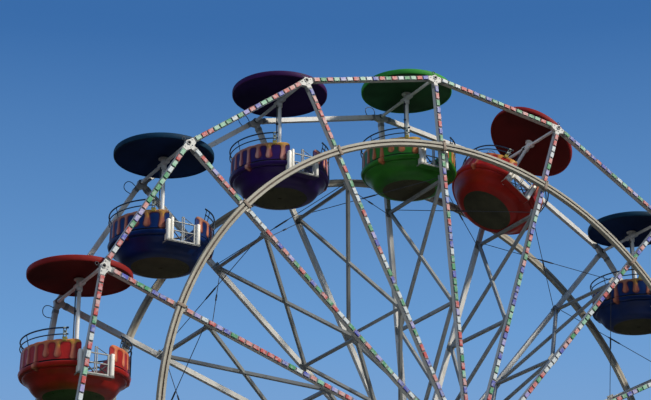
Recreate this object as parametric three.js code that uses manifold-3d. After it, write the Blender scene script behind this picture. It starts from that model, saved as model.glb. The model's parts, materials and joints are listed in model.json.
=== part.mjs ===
// Portable fairground ferris wheel: two spoked sides, sixteen hanging tubs with round canopies,
// and a trestle base. Millimetres, +Z up, origin on the ground under the hub. The wheel turns
// about a Y axis, and the tub gates face -Y, the front.

import * as THREE from 'three';
import { mergeVertices } from 'three/addons/utils/BufferGeometryUtils.js';
import Module from 'manifold-3d';

const wasm = await Module();
wasm.setup();

// Driving dimensions of the wheel
const GONDOLAS = 16;
const WHEEL_R = 6600;              // hub to gondola axle
const HUB_Z = 8950;                // hub above the ground
const SIDE_Y = 858;                // middle of each spoked side, from the middle plane
const TUBE = 76;                   // square tube of spokes and rim
const FIRST_ANGLE = 161.33;        // gondola 1, from +X, anticlockwise seen from the front
const GAP = 0.3;                   // between pieces that touch
const PITCH = 360 / GONDOLAS;
const HALF_PITCH = THREE.MathUtils.degToRad(PITCH / 2);

// Radii on the wheel
const HUB_DISC_R = 500;
const OUTER_SPREADER_R = 0.7238 * WHEEL_R;
const INNER_SPREADER_R = 0.4036 * WHEEL_R;
const DRIVE_RING_R = 0.807 * WHEEL_R;
const DRIVE_RING_HEIGHT = 110;
const DRIVE_RING_DEPTH = 80;
const DRIVE_RING_SIDES = 48;
const BRACE = 50;                  // square tube of spreaders and diagonal braces

// Hub and shaft
const SHAFT_R = 80;
const SHAFT_HALF_LENGTH = 1440;
const SPOOL_FLANGE_R = 560;
const SPOOL_FLANGE_INNER_Y = 690;
const SPOOL_CORE_R = 210;
const BEARING_CLEARANCE = 1.5;
const COLLAR_R = 120;              // shaft collars that run against the bearing heads
const COLLAR_THICK = 35;

// Rim corner: gusset round the gondola axle
const AXLE_R = 27;
const AXLE_SHOULDER_R = 36;        // the axle's shoulder runs against the front gusset
const AXLE_CLEARANCE = 1.5;
const AXLE_HALF_LENGTH = 905;
const AXLE_SIDES = 8;
const GUSSET_DEPTH = 90;           // from the axle towards the hub
const GUSSET_REACH = 125;          // along each rim strut
const GUSSET_TOP = 56;             // from the axle away from the hub
const GUSSET_SHOULDER = 46;        // along each strut, where the gusset's top starts to rise

// Tub, measured from the gondola axle downwards
const TUB_SIDES = 16;
const TUB_WALL = 30;
const TUB_BOTTOM_Z = -1728;
const TUB_FLOOR_R = 430;
const TUB_CURVE_Z = -1680;         // where the bowl turns up from the floor
const TUB_CURVE_R = 585;
const TUB_BOWL_Z = -1560;
const TUB_BOWL_R = 680;
const TUB_LIP_UNDER_Z = -1490;     // underside of the lip round the tub
const TUB_LIP_UNDER_R = 760;
const TUB_LIP_Z = -1440;
const TUB_LIP_R = 805;
const TUB_BAND_Z = -1385;
const TUB_BAND_R = 775;
const TUB_TOP_Z = -1070;
const TUB_TOP_R = 770;
const BENCH_R = 450;
const BENCH_Z = -1300;
const DOOR_HALF_WIDTH = 215;
const DOOR_POST = 50;
const DOOR_POST_FRONT_Y = -800;
const DOOR_POST_BACK_Y = -640;
const DOOR_POST_TOP_Z = -1255;
const SILL_FRONT_Y = -812;
const SILL_TOP_Z = -1585;
const SILL_HEIGHT = 25;

// Gate: a welded frame of square bar; its +X stile stands on the sill and turns inwards
const GATE_BAR = 26;
const GATE_HALF_WIDTH = 203;
const GATE_FRONT_Y = -780;
const GATE_BOTTOM_Z = -1572;
const GATE_TOP_Z = -1262;
const GATE_STILE_TOP_Z = -1170;    // the middle stile stands above the top rail

// Hanger: pole, axle and round canopy
const POLE_R = 33;
const CANOPY_R = 775;
const CANOPY_EDGE_R = 779;
const CANOPY_LOW_Z = 95;
const CANOPY_EDGE_Z = 168;
const CANOPY_TOP_Z = 240;
const CANOPY_SIDES = 16;
const TIPPED_GONDOLA = 5;
const TIPPED_ANGLE = 34;           // clockwise seen from the front

// Towers and base
const BASE_TOP_Z = 400;
const BASE_BOTTOM_Z = 60;
const TOWER_HEAD_Y = 1300;
const TOWER_HEAD_WIDTH = 400;
const TOWER_HEAD_DEPTH = 230;
const TOWER_HEAD_HEIGHT = 440;
const TOWER_LEG = 180;
const TOWER_LEG_TOP_X = 110;
const TOWER_FOOT_X = 2900;
const TOWER_FOOT_Y = 2000;
const TOWER_TIE = 120;
const TOWER_TIES_Z = [2900, 5600];
const FOOT_PLATE = 420;
const FOOT_PLATE_THICK = 25;
const BASE_BEAM = 260;
const BASE_HALF_LENGTH = 3500;
const OUTRIGGER_HALF_LENGTH = 2950;
const CROSS_BEAM_HALF_LENGTH = 2400;
const CROSS_BEAM_X = 1150;
const PAD = 520;

// Boarding platform
const DECK_HALF_WIDTH = 1400;
const DECK_BACK_Y = -870;
const DECK_FRONT_Y = -2360;
const DECK_TOP_Z = 560;
const DECK_THICK = 60;
const STEP_DEPTH = 295;
const STEPS = 2;
const STEP_HALF_WIDTH = 700;

const COLOURS = {
    frame: { color: 0xd5d6d2, roughness: 0.5, metalness: 0.3 },
    ring: { color: 0xb3a98a, roughness: 0.6, metalness: 0.2 },
    brace: { color: 0xa9aca9, roughness: 0.5, metalness: 0.4 },
    tower: { color: 0xd9d9d4, roughness: 0.5, metalness: 0.3 },
    base: { color: 0x5f6468, roughness: 0.6, metalness: 0.4 },
    deck: { color: 0x8b8f90, roughness: 0.7, metalness: 0.5 },
    gate: { color: 0xe9e6d6, roughness: 0.5, metalness: 0.1 },
};
const TUB_COLOURS = [0xa01c18, 0x14305f, 0x3a1a66, 0x1d6b2a];

const material = (look) => new THREE.MeshStandardMaterial(look);
const fibreglass = (color) => material({ color, roughness: 0.35, metalness: 0 });

// A closed mesh made a solid, and a solid made a mesh again
function solid(geometry) {
    const plain = geometry.clone();
    plain.deleteAttribute('normal');
    plain.deleteAttribute('uv');
    const merged = mergeVertices(plain, 1e-3);
    return new wasm.Manifold(new wasm.Mesh({
        numProp: 3,
        vertProperties: new Float32Array(merged.attributes.position.array),
        triVerts: new Uint32Array(merged.index.array),
    }));
}

function geometryOf(manifold) {
    const { vertProperties, triVerts } = manifold.getMesh();
    const geometry = new THREE.BufferGeometry();
    geometry.setAttribute('position', new THREE.BufferAttribute(vertProperties, 3));
    geometry.setIndex(new THREE.BufferAttribute(triVerts, 1));
    return geometry;
}

const joined = (geometries) => geometries.map(solid).reduce((sum, next) => sum.add(next));

function named(name, geometry, look) {
    const mesh = new THREE.Mesh(geometry, look);
    mesh.name = name;
    return mesh;
}

// A box between two corners
function block([x0, y0, z0], [x1, y1, z1]) {
    const geometry = new THREE.BoxGeometry(x1 - x0, y1 - y0, z1 - z0);
    return geometry.translate((x0 + x1) / 2, (y0 + y1) / 2, (z0 + z1) / 2);
}

// A square bar from point a to point b; side is a direction across it
function bar(a, b, size, side = new THREE.Vector3(0, 1, 0)) {
    const along = b.clone().sub(a);
    const length = along.length();
    along.normalize();
    const square = side.clone().addScaledVector(along, -side.dot(along)).normalize();
    const third = new THREE.Vector3().crossVectors(along, square);
    const middle = a.clone().add(b).multiplyScalar(0.5);
    const place = new THREE.Matrix4().makeBasis(square, third, along).setPosition(middle);
    return new THREE.BoxGeometry(size, size, length).applyMatrix4(place);
}

// A flat shape drawn in X and Z, made thick along Y from y0 to y1
function plate(outline, holes, y0, y1) {
    const shape = new THREE.Shape(outline);
    shape.holes = holes.map((hole) => new THREE.Path(hole));
    const geometry = new THREE.ExtrudeGeometry(shape, { depth: y1 - y0, bevelEnabled: false });
    return geometry.rotateX(Math.PI / 2).translate(0, y1, 0);
}

// A body turned about Z from radius and height pairs that start and end on the axis
function turned(profile, sides) {
    return new THREE.LatheGeometry(profile.map(([r, z]) => new THREE.Vector2(r, z)), sides)
        .rotateX(Math.PI / 2);
}

function circle(radius, sides, centre = new THREE.Vector2()) {
    return Array.from({ length: sides }, (_, i) => {
        const angle = (i / sides) * 2 * Math.PI;
        return new THREE.Vector2(Math.cos(angle), Math.sin(angle)).multiplyScalar(radius).add(centre);
    });
}

// The corner radius of a polygon whose flats touch a circle
const across = (radius, sides) => radius / Math.cos(Math.PI / sides);
const angleOf = (k) => THREE.MathUtils.degToRad(FIRST_ANGLE - PITCH * k);
const polar = (k, radial, tangential = 0) => {
    const angle = angleOf(k);
    return new THREE.Vector2(radial, tangential).rotateAround(new THREE.Vector2(), angle);
};
const positions = Array.from({ length: GONDOLAS }, (_, k) => k);
const anticlockwise = [...positions].reverse();

// Sixteen spokes on a disc with a hole for the shaft
function spokeStar(y0, y1) {
    const half = TUBE / 2;
    const root = Math.sqrt(HUB_DISC_R ** 2 - half ** 2);
    const tip = WHEEL_R - GUSSET_DEPTH - GAP;
    const outline = anticlockwise.flatMap((k) => [
        polar(k, root, -half), polar(k, tip, -half), polar(k, tip, half), polar(k, root, half),
    ]);
    return plate(outline, [circle(across(SHAFT_R + GAP, 16), 16)], y0, y1);
}

// Sixteen rim struts that meet in gussets bored for the gondola axles
function rim(y0, y1) {
    const half = TUBE / 2;
    const sine = Math.sin(HALF_PITCH);
    const cosine = Math.cos(HALF_PITCH);
    const onStrut = (reach, offset) => [-sine * reach + cosine * offset, cosine * reach + sine * offset];
    const [outerU, outerV] = onStrut(GUSSET_SHOULDER, half);
    const [innerU, innerV] = onStrut(GUSSET_REACH, -half);
    const outline = anticlockwise.flatMap((k) => [
        polar(k, WHEEL_R + outerU, -outerV),
        polar(k, WHEEL_R + GUSSET_TOP, 0),
        polar(k, WHEEL_R + outerU, outerV),
    ]);
    const inside = anticlockwise.flatMap((k) => [
        polar(k, WHEEL_R + innerU, -innerV),
        polar(k, WHEEL_R - GUSSET_DEPTH, -half),
        polar(k, WHEEL_R - GUSSET_DEPTH, half),
        polar(k, WHEEL_R + innerU, innerV),
    ]);
    const bore = across(AXLE_R + AXLE_CLEARANCE, AXLE_SIDES);
    const bores = positions.map((k) => circle(bore, AXLE_SIDES, polar(k, WHEEL_R)));
    return plate(outline, [inside, ...bores], y0, y1);
}

// Rolled beam that the drive runs on, clamped to the outer face of the spokes
function driveRing(y0, y1) {
    const outer = DRIVE_RING_R + DRIVE_RING_HEIGHT / 2;
    const inner = DRIVE_RING_R - DRIVE_RING_HEIGHT / 2;
    return plate(circle(outer, DRIVE_RING_SIDES), [circle(inner, DRIVE_RING_SIDES)], y0, y1);
}

// Spool on the shaft, with the spreaders and diagonal braces between each pair of spokes
function hubWithBracing() {
    const inside = SIDE_Y - TUBE / 2 - GAP;
    const collar = TOWER_HEAD_Y - TOWER_HEAD_DEPTH / 2 - GAP;
    const halfProfile = [
        [SPOOL_CORE_R, SPOOL_FLANGE_INNER_Y], [SPOOL_FLANGE_R, SPOOL_FLANGE_INNER_Y],
        [SPOOL_FLANGE_R, inside], [SHAFT_R, inside],
        [SHAFT_R, collar - COLLAR_THICK], [COLLAR_R, collar - COLLAR_THICK],
        [COLLAR_R, collar], [SHAFT_R, collar],
        [SHAFT_R, SHAFT_HALF_LENGTH], [0, SHAFT_HALF_LENGTH],
    ];
    const mirrored = halfProfile.map(([r, y]) => [r, -y]).reverse();
    const spool = solid(turned([...mirrored, ...halfProfile], GONDOLAS).rotateX(-Math.PI / 2));
    const end = inside - BRACE / 2;
    const at = (radius, y) => new THREE.Vector3(radius, y, 0);
    const flangeGrip = SPOOL_FLANGE_R - BRACE;
    const bars = [
        bar(at(OUTER_SPREADER_R, -inside), at(OUTER_SPREADER_R, inside), BRACE, at(1, 0)),
        bar(at(INNER_SPREADER_R, -inside), at(INNER_SPREADER_R, inside), BRACE, at(1, 0)),
    ];
    for (const [near, far] of [[INNER_SPREADER_R, OUTER_SPREADER_R], [flangeGrip, INNER_SPREADER_R]]) {
        bars.push(bar(at(near, -end), at(far, end), BRACE));
        bars.push(bar(at(near, end), at(far, -end), BRACE));
    }
    const panel = joined(bars);
    return positions.reduce((sum, k) => {
        const turn = -THREE.MathUtils.radToDeg(angleOf(k));
        return sum.add(panel.rotate([0, turn, 0]));
    }, spool);
}

// Round tub with a bench inside, a doorway at the front, its two posts and its sill
function tub() {
    const innerTop = TUB_TOP_R - TUB_WALL;
    const innerBand = TUB_BAND_R - TUB_WALL;
    const floorZ = TUB_BOTTOM_Z + TUB_WALL;
    const bowl = turned([
        [0, TUB_BOTTOM_Z], [TUB_FLOOR_R, TUB_BOTTOM_Z], [TUB_CURVE_R, TUB_CURVE_Z],
        [TUB_BOWL_R, TUB_BOWL_Z], [TUB_LIP_UNDER_R, TUB_LIP_UNDER_Z], [TUB_LIP_R, TUB_LIP_Z],
        [TUB_BAND_R, TUB_BAND_Z], [TUB_TOP_R, TUB_TOP_Z], [innerTop, TUB_TOP_Z],
        [innerBand, BENCH_Z], [BENCH_R, BENCH_Z], [BENCH_R, floorZ], [0, floorZ],
    ], TUB_SIDES);
    const doorway = block(
        [-DOOR_HALF_WIDTH, -TUB_LIP_R - TUB_WALL, SILL_TOP_Z],
        [DOOR_HALF_WIDTH, -BENCH_R / 2, TUB_TOP_Z + TUB_WALL],
    );
    const sillBottom = SILL_TOP_Z - SILL_HEIGHT;
    const posts = [-1, 1].map((side) => {
        const near = side * DOOR_HALF_WIDTH;
        const far = side * (DOOR_HALF_WIDTH + DOOR_POST);
        return block(
            [Math.min(near, far), DOOR_POST_FRONT_Y, sillBottom],
            [Math.max(near, far), DOOR_POST_BACK_Y, DOOR_POST_TOP_Z],
        );
    });
    const sillHalf = DOOR_HALF_WIDTH + DOOR_POST;
    const sill = block([-sillHalf, SILL_FRONT_Y, sillBottom], [sillHalf, DOOR_POST_BACK_Y, SILL_TOP_Z]);
    return solid(bowl).subtract(solid(doorway)).add(joined([...posts, sill]));
}

// Pole with the axle through it and the canopy on its top
function hanger() {
    const canopy = turned([
        [0, CANOPY_LOW_Z], [CANOPY_R, CANOPY_LOW_Z], [CANOPY_EDGE_R, CANOPY_EDGE_Z], [0, CANOPY_TOP_Z],
    ], CANOPY_SIDES);
    const poleFoot = TUB_BOTTOM_Z + TUB_WALL + GAP;
    const poleTop = (CANOPY_LOW_Z + CANOPY_TOP_Z) / 2;
    const pole = turned([
        [0, poleFoot], [POLE_R, poleFoot], [POLE_R, poleTop], [0, poleTop],
    ], AXLE_SIDES);
    const shoulder = SIDE_Y - TUBE / 2 - GAP;
    const axle = turned([
        [0, -AXLE_HALF_LENGTH], [AXLE_R, -AXLE_HALF_LENGTH], [AXLE_R, shoulder - AXLE_R],
        [AXLE_SHOULDER_R, shoulder - AXLE_R], [AXLE_SHOULDER_R, shoulder], [AXLE_R, shoulder],
        [AXLE_R, AXLE_HALF_LENGTH], [0, AXLE_HALF_LENGTH],
    ], AXLE_SIDES).rotateX(Math.PI / 2);
    return joined([canopy, pole, axle]);
}

// Gate frame: two stiles, three rails, a tall middle stile and a diagonal in each lower half
function gate() {
    const left = -GATE_HALF_WIDTH;
    const right = GATE_HALF_WIDTH;
    const half = GATE_BAR / 2;
    const midZ = (GATE_BOTTOM_Z + GATE_TOP_Z) / 2;
    const corner = (x, z) => new THREE.Vector2(x, z);
    const pivotZ = SILL_TOP_Z + GAP;
    const outline = [
        corner(left, GATE_BOTTOM_Z), corner(right - GATE_BAR, GATE_BOTTOM_Z),
        corner(right - GATE_BAR, pivotZ), corner(right, pivotZ), corner(right, GATE_TOP_Z),
        corner(half, GATE_TOP_Z), corner(half, GATE_STILE_TOP_Z),
        corner(-half, GATE_STILE_TOP_Z), corner(-half, GATE_TOP_Z), corner(left, GATE_TOP_Z),
    ];
    const low = GATE_BOTTOM_Z + GATE_BAR;
    const high = midZ - half;
    const openings = [];
    for (const [x0, x1] of [[left + GATE_BAR, -half], [half, right - GATE_BAR]]) {
        openings.push([
            corner(x0, midZ + half), corner(x1, midZ + half),
            corner(x1, GATE_TOP_Z - GATE_BAR), corner(x0, GATE_TOP_Z - GATE_BAR),
        ]);
        const inward = x0 < 0 ? x1 : x0;
        const outward = x0 < 0 ? x0 : x1;
        const lean = Math.sign(inward - outward) * GATE_BAR;
        openings.push([
            corner(outward, low), corner(inward - lean, low), corner(outward, high - GATE_BAR),
        ]);
        openings.push([
            corner(inward, high), corner(outward + lean, high), corner(inward, low + GATE_BAR),
        ]);
    }
    const backY = GATE_FRONT_Y + GATE_BAR;
    const panel = solid(plate(outline, [], GATE_FRONT_Y, backY));
    const cutter = (opening) => solid(plate(opening, [], GATE_FRONT_Y - half, backY + half));
    return openings.reduce((rest, opening) => rest.subtract(cutter(opening)), panel);
}

// A-frame on one side of the wheel; side is -1 at the front and 1 at the back
function tower(side) {
    const headY = side * TOWER_HEAD_Y;
    const head = block(
        [-TOWER_HEAD_WIDTH / 2, headY - TOWER_HEAD_DEPTH / 2, HUB_Z - TOWER_HEAD_HEIGHT / 2],
        [TOWER_HEAD_WIDTH / 2, headY + TOWER_HEAD_DEPTH / 2, HUB_Z + TOWER_HEAD_HEIGHT / 2],
    );
    const plateTop = BASE_TOP_Z + GAP + FOOT_PLATE_THICK;
    const top = new THREE.Vector3(TOWER_LEG_TOP_X, headY, HUB_Z - TOWER_HEAD_HEIGHT / 4);
    const foot = new THREE.Vector3(TOWER_FOOT_X, side * TOWER_FOOT_Y, plateTop);
    const mirrored = (point) => new THREE.Vector3(-point.x, point.y, point.z);
    const onLeg = (z) => top.clone().lerp(foot, (top.z - z) / (top.z - foot.z));
    const belowPlate = foot.clone().addScaledVector(foot.clone().sub(top).normalize(), TOWER_LEG);
    const pieces = [head];
    for (const place of [(point) => point, mirrored]) {
        pieces.push(bar(place(top), place(belowPlate), TOWER_LEG));
    }
    for (const z of TOWER_TIES_Z) {
        pieces.push(bar(onLeg(z), mirrored(onLeg(z)), TOWER_TIE));
    }
    const reachX = TOWER_FOOT_X + 2 * TOWER_LEG;
    const reachY = TOWER_FOOT_Y + 2 * TOWER_LEG;
    const under = block([-reachX, -reachY, -TOWER_LEG], [reachX, reachY, plateTop]);
    const frame = joined(pieces).subtract(solid(under));
    const feet = [-1, 1].map((end) => solid(block(
        [end * TOWER_FOOT_X - FOOT_PLATE / 2, foot.y - FOOT_PLATE / 2, BASE_TOP_Z + GAP],
        [end * TOWER_FOOT_X + FOOT_PLATE / 2, foot.y + FOOT_PLATE / 2, plateTop + GAP],
    )));
    const bore = across(SHAFT_R + BEARING_CLEARANCE, GONDOLAS);
    const boreHole = plate(
        circle(bore, GONDOLAS), [], headY - TOWER_HEAD_DEPTH, headY + TOWER_HEAD_DEPTH,
    ).translate(0, 0, HUB_Z);
    return feet.reduce((sum, next) => sum.add(next), frame).subtract(solid(boreHole));
}

// Ladder of beams on the ground, with outriggers and pads
function base() {
    const half = BASE_BEAM / 2;
    const beam = (x0, x1, y0, y1) => block([x0, y0, BASE_BOTTOM_Z], [x1, y1, BASE_TOP_Z]);
    const pad = (x, y) => block(
        [x - PAD / 2, y - PAD / 2, 0],
        [x + PAD / 2, y + PAD / 2, BASE_BOTTOM_Z + GAP],
    );
    const pieces = [];
    for (const side of [-1, 1]) {
        const y = side * TOWER_FOOT_Y;
        pieces.push(beam(-BASE_HALF_LENGTH, BASE_HALF_LENGTH, y - half, y + half));
        for (const end of [-1, 1]) {
            pieces.push(pad(end * TOWER_FOOT_X, side * (OUTRIGGER_HALF_LENGTH - PAD / 2)));
            pieces.push(pad(end * CROSS_BEAM_X, y));
        }
    }
    for (const end of [-1, 1]) {
        const outrigger = end * TOWER_FOOT_X;
        const cross = end * CROSS_BEAM_X;
        pieces.push(beam(
            outrigger - half, outrigger + half, -OUTRIGGER_HALF_LENGTH, OUTRIGGER_HALF_LENGTH,
        ));
        pieces.push(beam(cross - half, cross + half, -CROSS_BEAM_HALF_LENGTH, CROSS_BEAM_HALF_LENGTH));
    }
    return joined(pieces);
}

// Deck on the cross beams, with two steps down to the ground at the front
function platform() {
    const half = BASE_BEAM / 2;
    const underside = DECK_TOP_Z - DECK_THICK;
    const rise = DECK_TOP_Z / (STEPS + 1);
    const stepFront = (step) => DECK_FRONT_Y - step * STEP_DEPTH;
    const stepTop = (step) => DECK_TOP_Z - step * rise;
    const riserBack = DECK_FRONT_Y + DECK_THICK;
    const pieces = [
        block([-DECK_HALF_WIDTH, DECK_FRONT_Y, underside], [DECK_HALF_WIDTH, DECK_BACK_Y, DECK_TOP_Z]),
        block([-STEP_HALF_WIDTH, DECK_FRONT_Y, 0], [STEP_HALF_WIDTH, riserBack, underside + GAP]),
    ];
    for (const end of [-1, 1]) {
        const x = end * CROSS_BEAM_X;
        pieces.push(block(
            [x - half, DECK_FRONT_Y, BASE_TOP_Z + GAP],
            [x + half, DECK_BACK_Y, underside + GAP],
        ));
    }
    for (let step = 1; step <= STEPS; step += 1) {
        const front = stepFront(step);
        const top = stepTop(step);
        const back = front + STEP_DEPTH;
        pieces.push(block([-STEP_HALF_WIDTH, front, top - DECK_THICK], [STEP_HALF_WIDTH, back, top]));
        for (const end of [-1, 1]) {
            const stringer = end * (STEP_HALF_WIDTH - DECK_THICK / 2);
            pieces.push(block(
                [stringer - DECK_THICK / 2, front, 0],
                [stringer + DECK_THICK / 2, back + GAP, top - GAP],
            ));
        }
    }
    return joined(pieces);
}

const ferrisWheel = new THREE.Group();
const wheel = new THREE.Group();
wheel.position.z = HUB_Z;
ferrisWheel.add(wheel);

const outer = SIDE_Y + TUBE / 2;
const inner = SIDE_Y - TUBE / 2;
const ringOuter = outer + GAP + DRIVE_RING_DEPTH;
wheel.add(named('front_spokes', spokeStar(-outer, -inner), material(COLOURS.frame)));
wheel.add(named('back_spokes', spokeStar(inner, outer), material(COLOURS.frame)));
wheel.add(named('front_rim', rim(-outer, -inner), material(COLOURS.frame)));
wheel.add(named('back_rim', rim(inner, outer), material(COLOURS.frame)));
wheel.add(named('front_drive_ring', driveRing(-ringOuter, -outer - GAP), material(COLOURS.ring)));
wheel.add(named('back_drive_ring', driveRing(outer + GAP, ringOuter), material(COLOURS.ring)));
wheel.add(named('hub_and_cross_bracing', geometryOf(hubWithBracing()), material(COLOURS.brace)));

const tubGeometry = geometryOf(tub());
const hangerGeometry = geometryOf(hanger());
const gateGeometry = geometryOf(gate());
for (const k of positions) {
    const gondola = new THREE.Group();
    const axle = polar(k, WHEEL_R);
    gondola.position.set(axle.x, 0, axle.y);
    if (k + 1 === TIPPED_GONDOLA) gondola.rotation.y = THREE.MathUtils.degToRad(TIPPED_ANGLE);
    const number = String(k + 1).padStart(2, '0');
    const colour = TUB_COLOURS[k % TUB_COLOURS.length];
    gondola.add(named(`tub_${number}`, tubGeometry, fibreglass(colour)));
    gondola.add(named(`hanger_${number}`, hangerGeometry, fibreglass(colour)));
    gondola.add(named(`gate_${number}`, gateGeometry, material(COLOURS.gate)));
    wheel.add(gondola);
}

ferrisWheel.add(named('front_tower', geometryOf(tower(-1)), material(COLOURS.tower)));
ferrisWheel.add(named('back_tower', geometryOf(tower(1)), material(COLOURS.tower)));
ferrisWheel.add(named('base_frame', geometryOf(base()), material(COLOURS.base)));
ferrisWheel.add(named('boarding_platform', geometryOf(platform()), material(COLOURS.deck)));

export default ferrisWheel;
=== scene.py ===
# %% [markdown]
# # A fairground ferris wheel, dressed piece by piece
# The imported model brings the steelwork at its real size: spokes, rims, hub, towers, base and the plain
# gondolas. This lesson paints that steel and models what the eye stops at: tubs with painted drips, round
# canopies, gates, lamp strips, the grooved drive ring and the small fittings. Everything is in metres,
# with +Z up, and the wheel turns about a line along Y.

# %% Load the frame
import itertools
import json
import math
import random

import bpy
from mathutils import Matrix, Vector


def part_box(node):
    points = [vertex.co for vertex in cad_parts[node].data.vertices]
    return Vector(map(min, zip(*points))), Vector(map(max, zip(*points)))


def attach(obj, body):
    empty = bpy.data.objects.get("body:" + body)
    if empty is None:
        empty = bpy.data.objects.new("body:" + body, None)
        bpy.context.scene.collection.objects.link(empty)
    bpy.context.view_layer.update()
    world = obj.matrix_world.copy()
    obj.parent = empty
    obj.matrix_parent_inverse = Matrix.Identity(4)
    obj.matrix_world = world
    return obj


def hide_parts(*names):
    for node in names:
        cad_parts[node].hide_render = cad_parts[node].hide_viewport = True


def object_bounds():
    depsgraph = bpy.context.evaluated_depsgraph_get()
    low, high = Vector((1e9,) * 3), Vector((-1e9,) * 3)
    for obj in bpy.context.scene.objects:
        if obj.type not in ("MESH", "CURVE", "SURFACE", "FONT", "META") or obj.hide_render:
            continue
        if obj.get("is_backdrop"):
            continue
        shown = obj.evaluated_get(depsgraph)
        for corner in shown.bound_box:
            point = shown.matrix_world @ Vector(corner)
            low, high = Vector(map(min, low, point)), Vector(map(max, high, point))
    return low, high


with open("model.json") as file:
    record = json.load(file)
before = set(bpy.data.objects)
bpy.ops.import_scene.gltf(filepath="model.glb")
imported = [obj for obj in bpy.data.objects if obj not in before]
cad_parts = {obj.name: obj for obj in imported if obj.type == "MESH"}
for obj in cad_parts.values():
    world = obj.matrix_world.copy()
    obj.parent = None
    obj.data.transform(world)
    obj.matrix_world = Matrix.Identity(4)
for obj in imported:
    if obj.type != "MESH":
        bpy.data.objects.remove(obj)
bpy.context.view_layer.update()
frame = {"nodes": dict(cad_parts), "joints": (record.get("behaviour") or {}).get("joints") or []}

# %% [markdown]
# ## Measures taken from the frame
# The joints say where the hub and the sixteen gondola axles are, and the boxes of the nodes say where the
# faces of the steel lie. A gate's hinge axis also says how far its gondola is tipped.

# %% Read the measures
joints = {joint["name"]: joint for joint in frame["joints"]}
HUB = Vector(joints["wheel_spin"]["pos_m"])
TO_HUB = Matrix.Translation(HUB)
NUMBERS = [f"{k + 1:02d}" for k in range(16)]
AXLES = [Vector(joints[f"gondola_{number}_swing"]["pos_m"]) for number in NUMBERS]
WHEEL_R = (AXLES[0] - HUB).length
FIRST_ANGLE = math.atan2(AXLES[0].z - HUB.z, AXLES[0].x - HUB.x)
PITCH = 2 * math.pi / len(AXLES)
OUTER_FACE = -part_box("front_spokes")[0].y      # outer face of each spoked side
INNER_FACE = -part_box("front_spokes")[1].y
MID_FACE = (OUTER_FACE + INNER_FACE) / 2
TUBE = OUTER_FACE - INNER_FACE                 # square tube of spokes and rims
STRUT_HALF = WHEEL_R * math.sin(PITCH / 2)     # half a rim strut, from axle to axle
RING_FACE = -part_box("front_drive_ring")[0].y
RING_HEIGHT = 0.11
RING_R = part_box("front_drive_ring")[1].x - RING_HEIGHT / 2
HUB_DISC_R = 0.5
GUSSET_REACH = 0.125
OUTER_SPREADER_R = 0.7238 * WHEEL_R
INNER_SPREADER_R = 0.4036 * WHEEL_R
SEAT_GAP = 0.0004                              # keeps faces that touch from flickering


def about_y(angle):
    return Matrix.Rotation(angle, 4, "Y")


GONDOLA_PLACES = []
for axle, number in zip(AXLES, NUMBERS):
    hinge = joints[f"gate_{number}_hinge"]["axis"]
    GONDOLA_PLACES.append(Matrix.Translation(axle) @ about_y(math.atan2(-hinge[0], -hinge[2])))
print("wheel radius", round(WHEEL_R, 3), "first angle", round(math.degrees(FIRST_ANGLE), 2))

# %% [markdown]
# ## The camera
# The photograph looks up at the upper left of the wheel from the front left, and is taken to be stretched
# sideways. A render has square pixels, so this camera is a compromise between two aims: to look in the
# photograph's direction, and to put the parts near the places that they have in it.

# %% Place the camera
CAMERA_PLACE = Vector((-15.231, -22.597, 2.106))
CAMERA_YAW = math.radians(30.22)               # to the right of straight along +Y
CAMERA_PITCH = math.radians(23.16)
CAMERA_ROLL = math.radians(-0.34)

bpy.ops.object.camera_add(location=CAMERA_PLACE)
camera = bpy.context.object
camera.name = "camera"
camera.data.lens = 96.64
camera.data.sensor_width = 36
camera.data.clip_end = 200
ahead = Vector((
    math.sin(CAMERA_YAW) * math.cos(CAMERA_PITCH),
    math.cos(CAMERA_YAW) * math.cos(CAMERA_PITCH),
    math.sin(CAMERA_PITCH),
))
level = ahead.to_track_quat("-Z", "Y").to_matrix()
camera.rotation_euler = (level @ Matrix.Rotation(CAMERA_ROLL, 3, "Z")).to_euler()
bpy.context.scene.camera = camera

# %% [markdown]
# ## Hand tools
# Operators act on what is selected, so each helper starts by putting everything down. An outline is drawn
# by extruding one point along it, and a round piece is that outline spun about an axis. Copies get a mesh
# of their own and are moved in the mesh, so that every finished object stays at the origin.

# %% Selecting, joining and copying
def put_down():
    if bpy.context.mode != "OBJECT":
        bpy.ops.object.mode_set(mode="OBJECT")
    bpy.ops.object.select_all(action="DESELECT")


def pick(piece):
    put_down()
    piece.select_set(True)
    bpy.context.view_layer.objects.active = piece


def settle(piece, name):
    pick(piece)
    bpy.ops.object.transform_apply()
    piece.name = name
    piece.data.name = name
    return piece


def join(pieces, name):
    put_down()
    for piece in pieces:
        piece.select_set(True)
    bpy.context.view_layer.objects.active = pieces[0]
    if len(pieces) > 1:
        bpy.ops.object.join()
    return settle(bpy.context.object, name)


def moved(piece, matrix):
    piece.data.transform(matrix)
    return piece


def copy_by(piece, matrix, name):
    twin = piece.copy()
    twin.data = piece.data.copy()
    bpy.context.collection.objects.link(twin)
    twin.name = name
    return moved(twin, matrix)


def discard(piece):
    bpy.data.objects.remove(piece, do_unlink=True)


def copies_of(model, places):
    """A copy at each place; the model itself goes."""
    copies = [copy_by(model, place, "copy") for place in places]
    discard(model)
    return copies


def smooth(piece, angle=35):
    """Every modelled piece passes here once, so this also prints what was made."""
    pick(piece)
    bpy.ops.object.shade_smooth_by_angle(angle=math.radians(angle))
    print(piece.name, "has", len(piece.data.polygons), "faces")
    return piece


def modified(piece, kind, **settings):
    """Gives a piece one modifier and applies it."""
    pick(piece)
    modifier = piece.modifiers.new(kind, kind)
    for key, value in settings.items():
        setattr(modifier, key, value)
    bpy.ops.object.modifier_apply(modifier=modifier.name)
    return piece


def bevel(piece, width, segments=2):
    return modified(piece, "BEVEL", width=width, segments=segments, limit_method="ANGLE")


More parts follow.
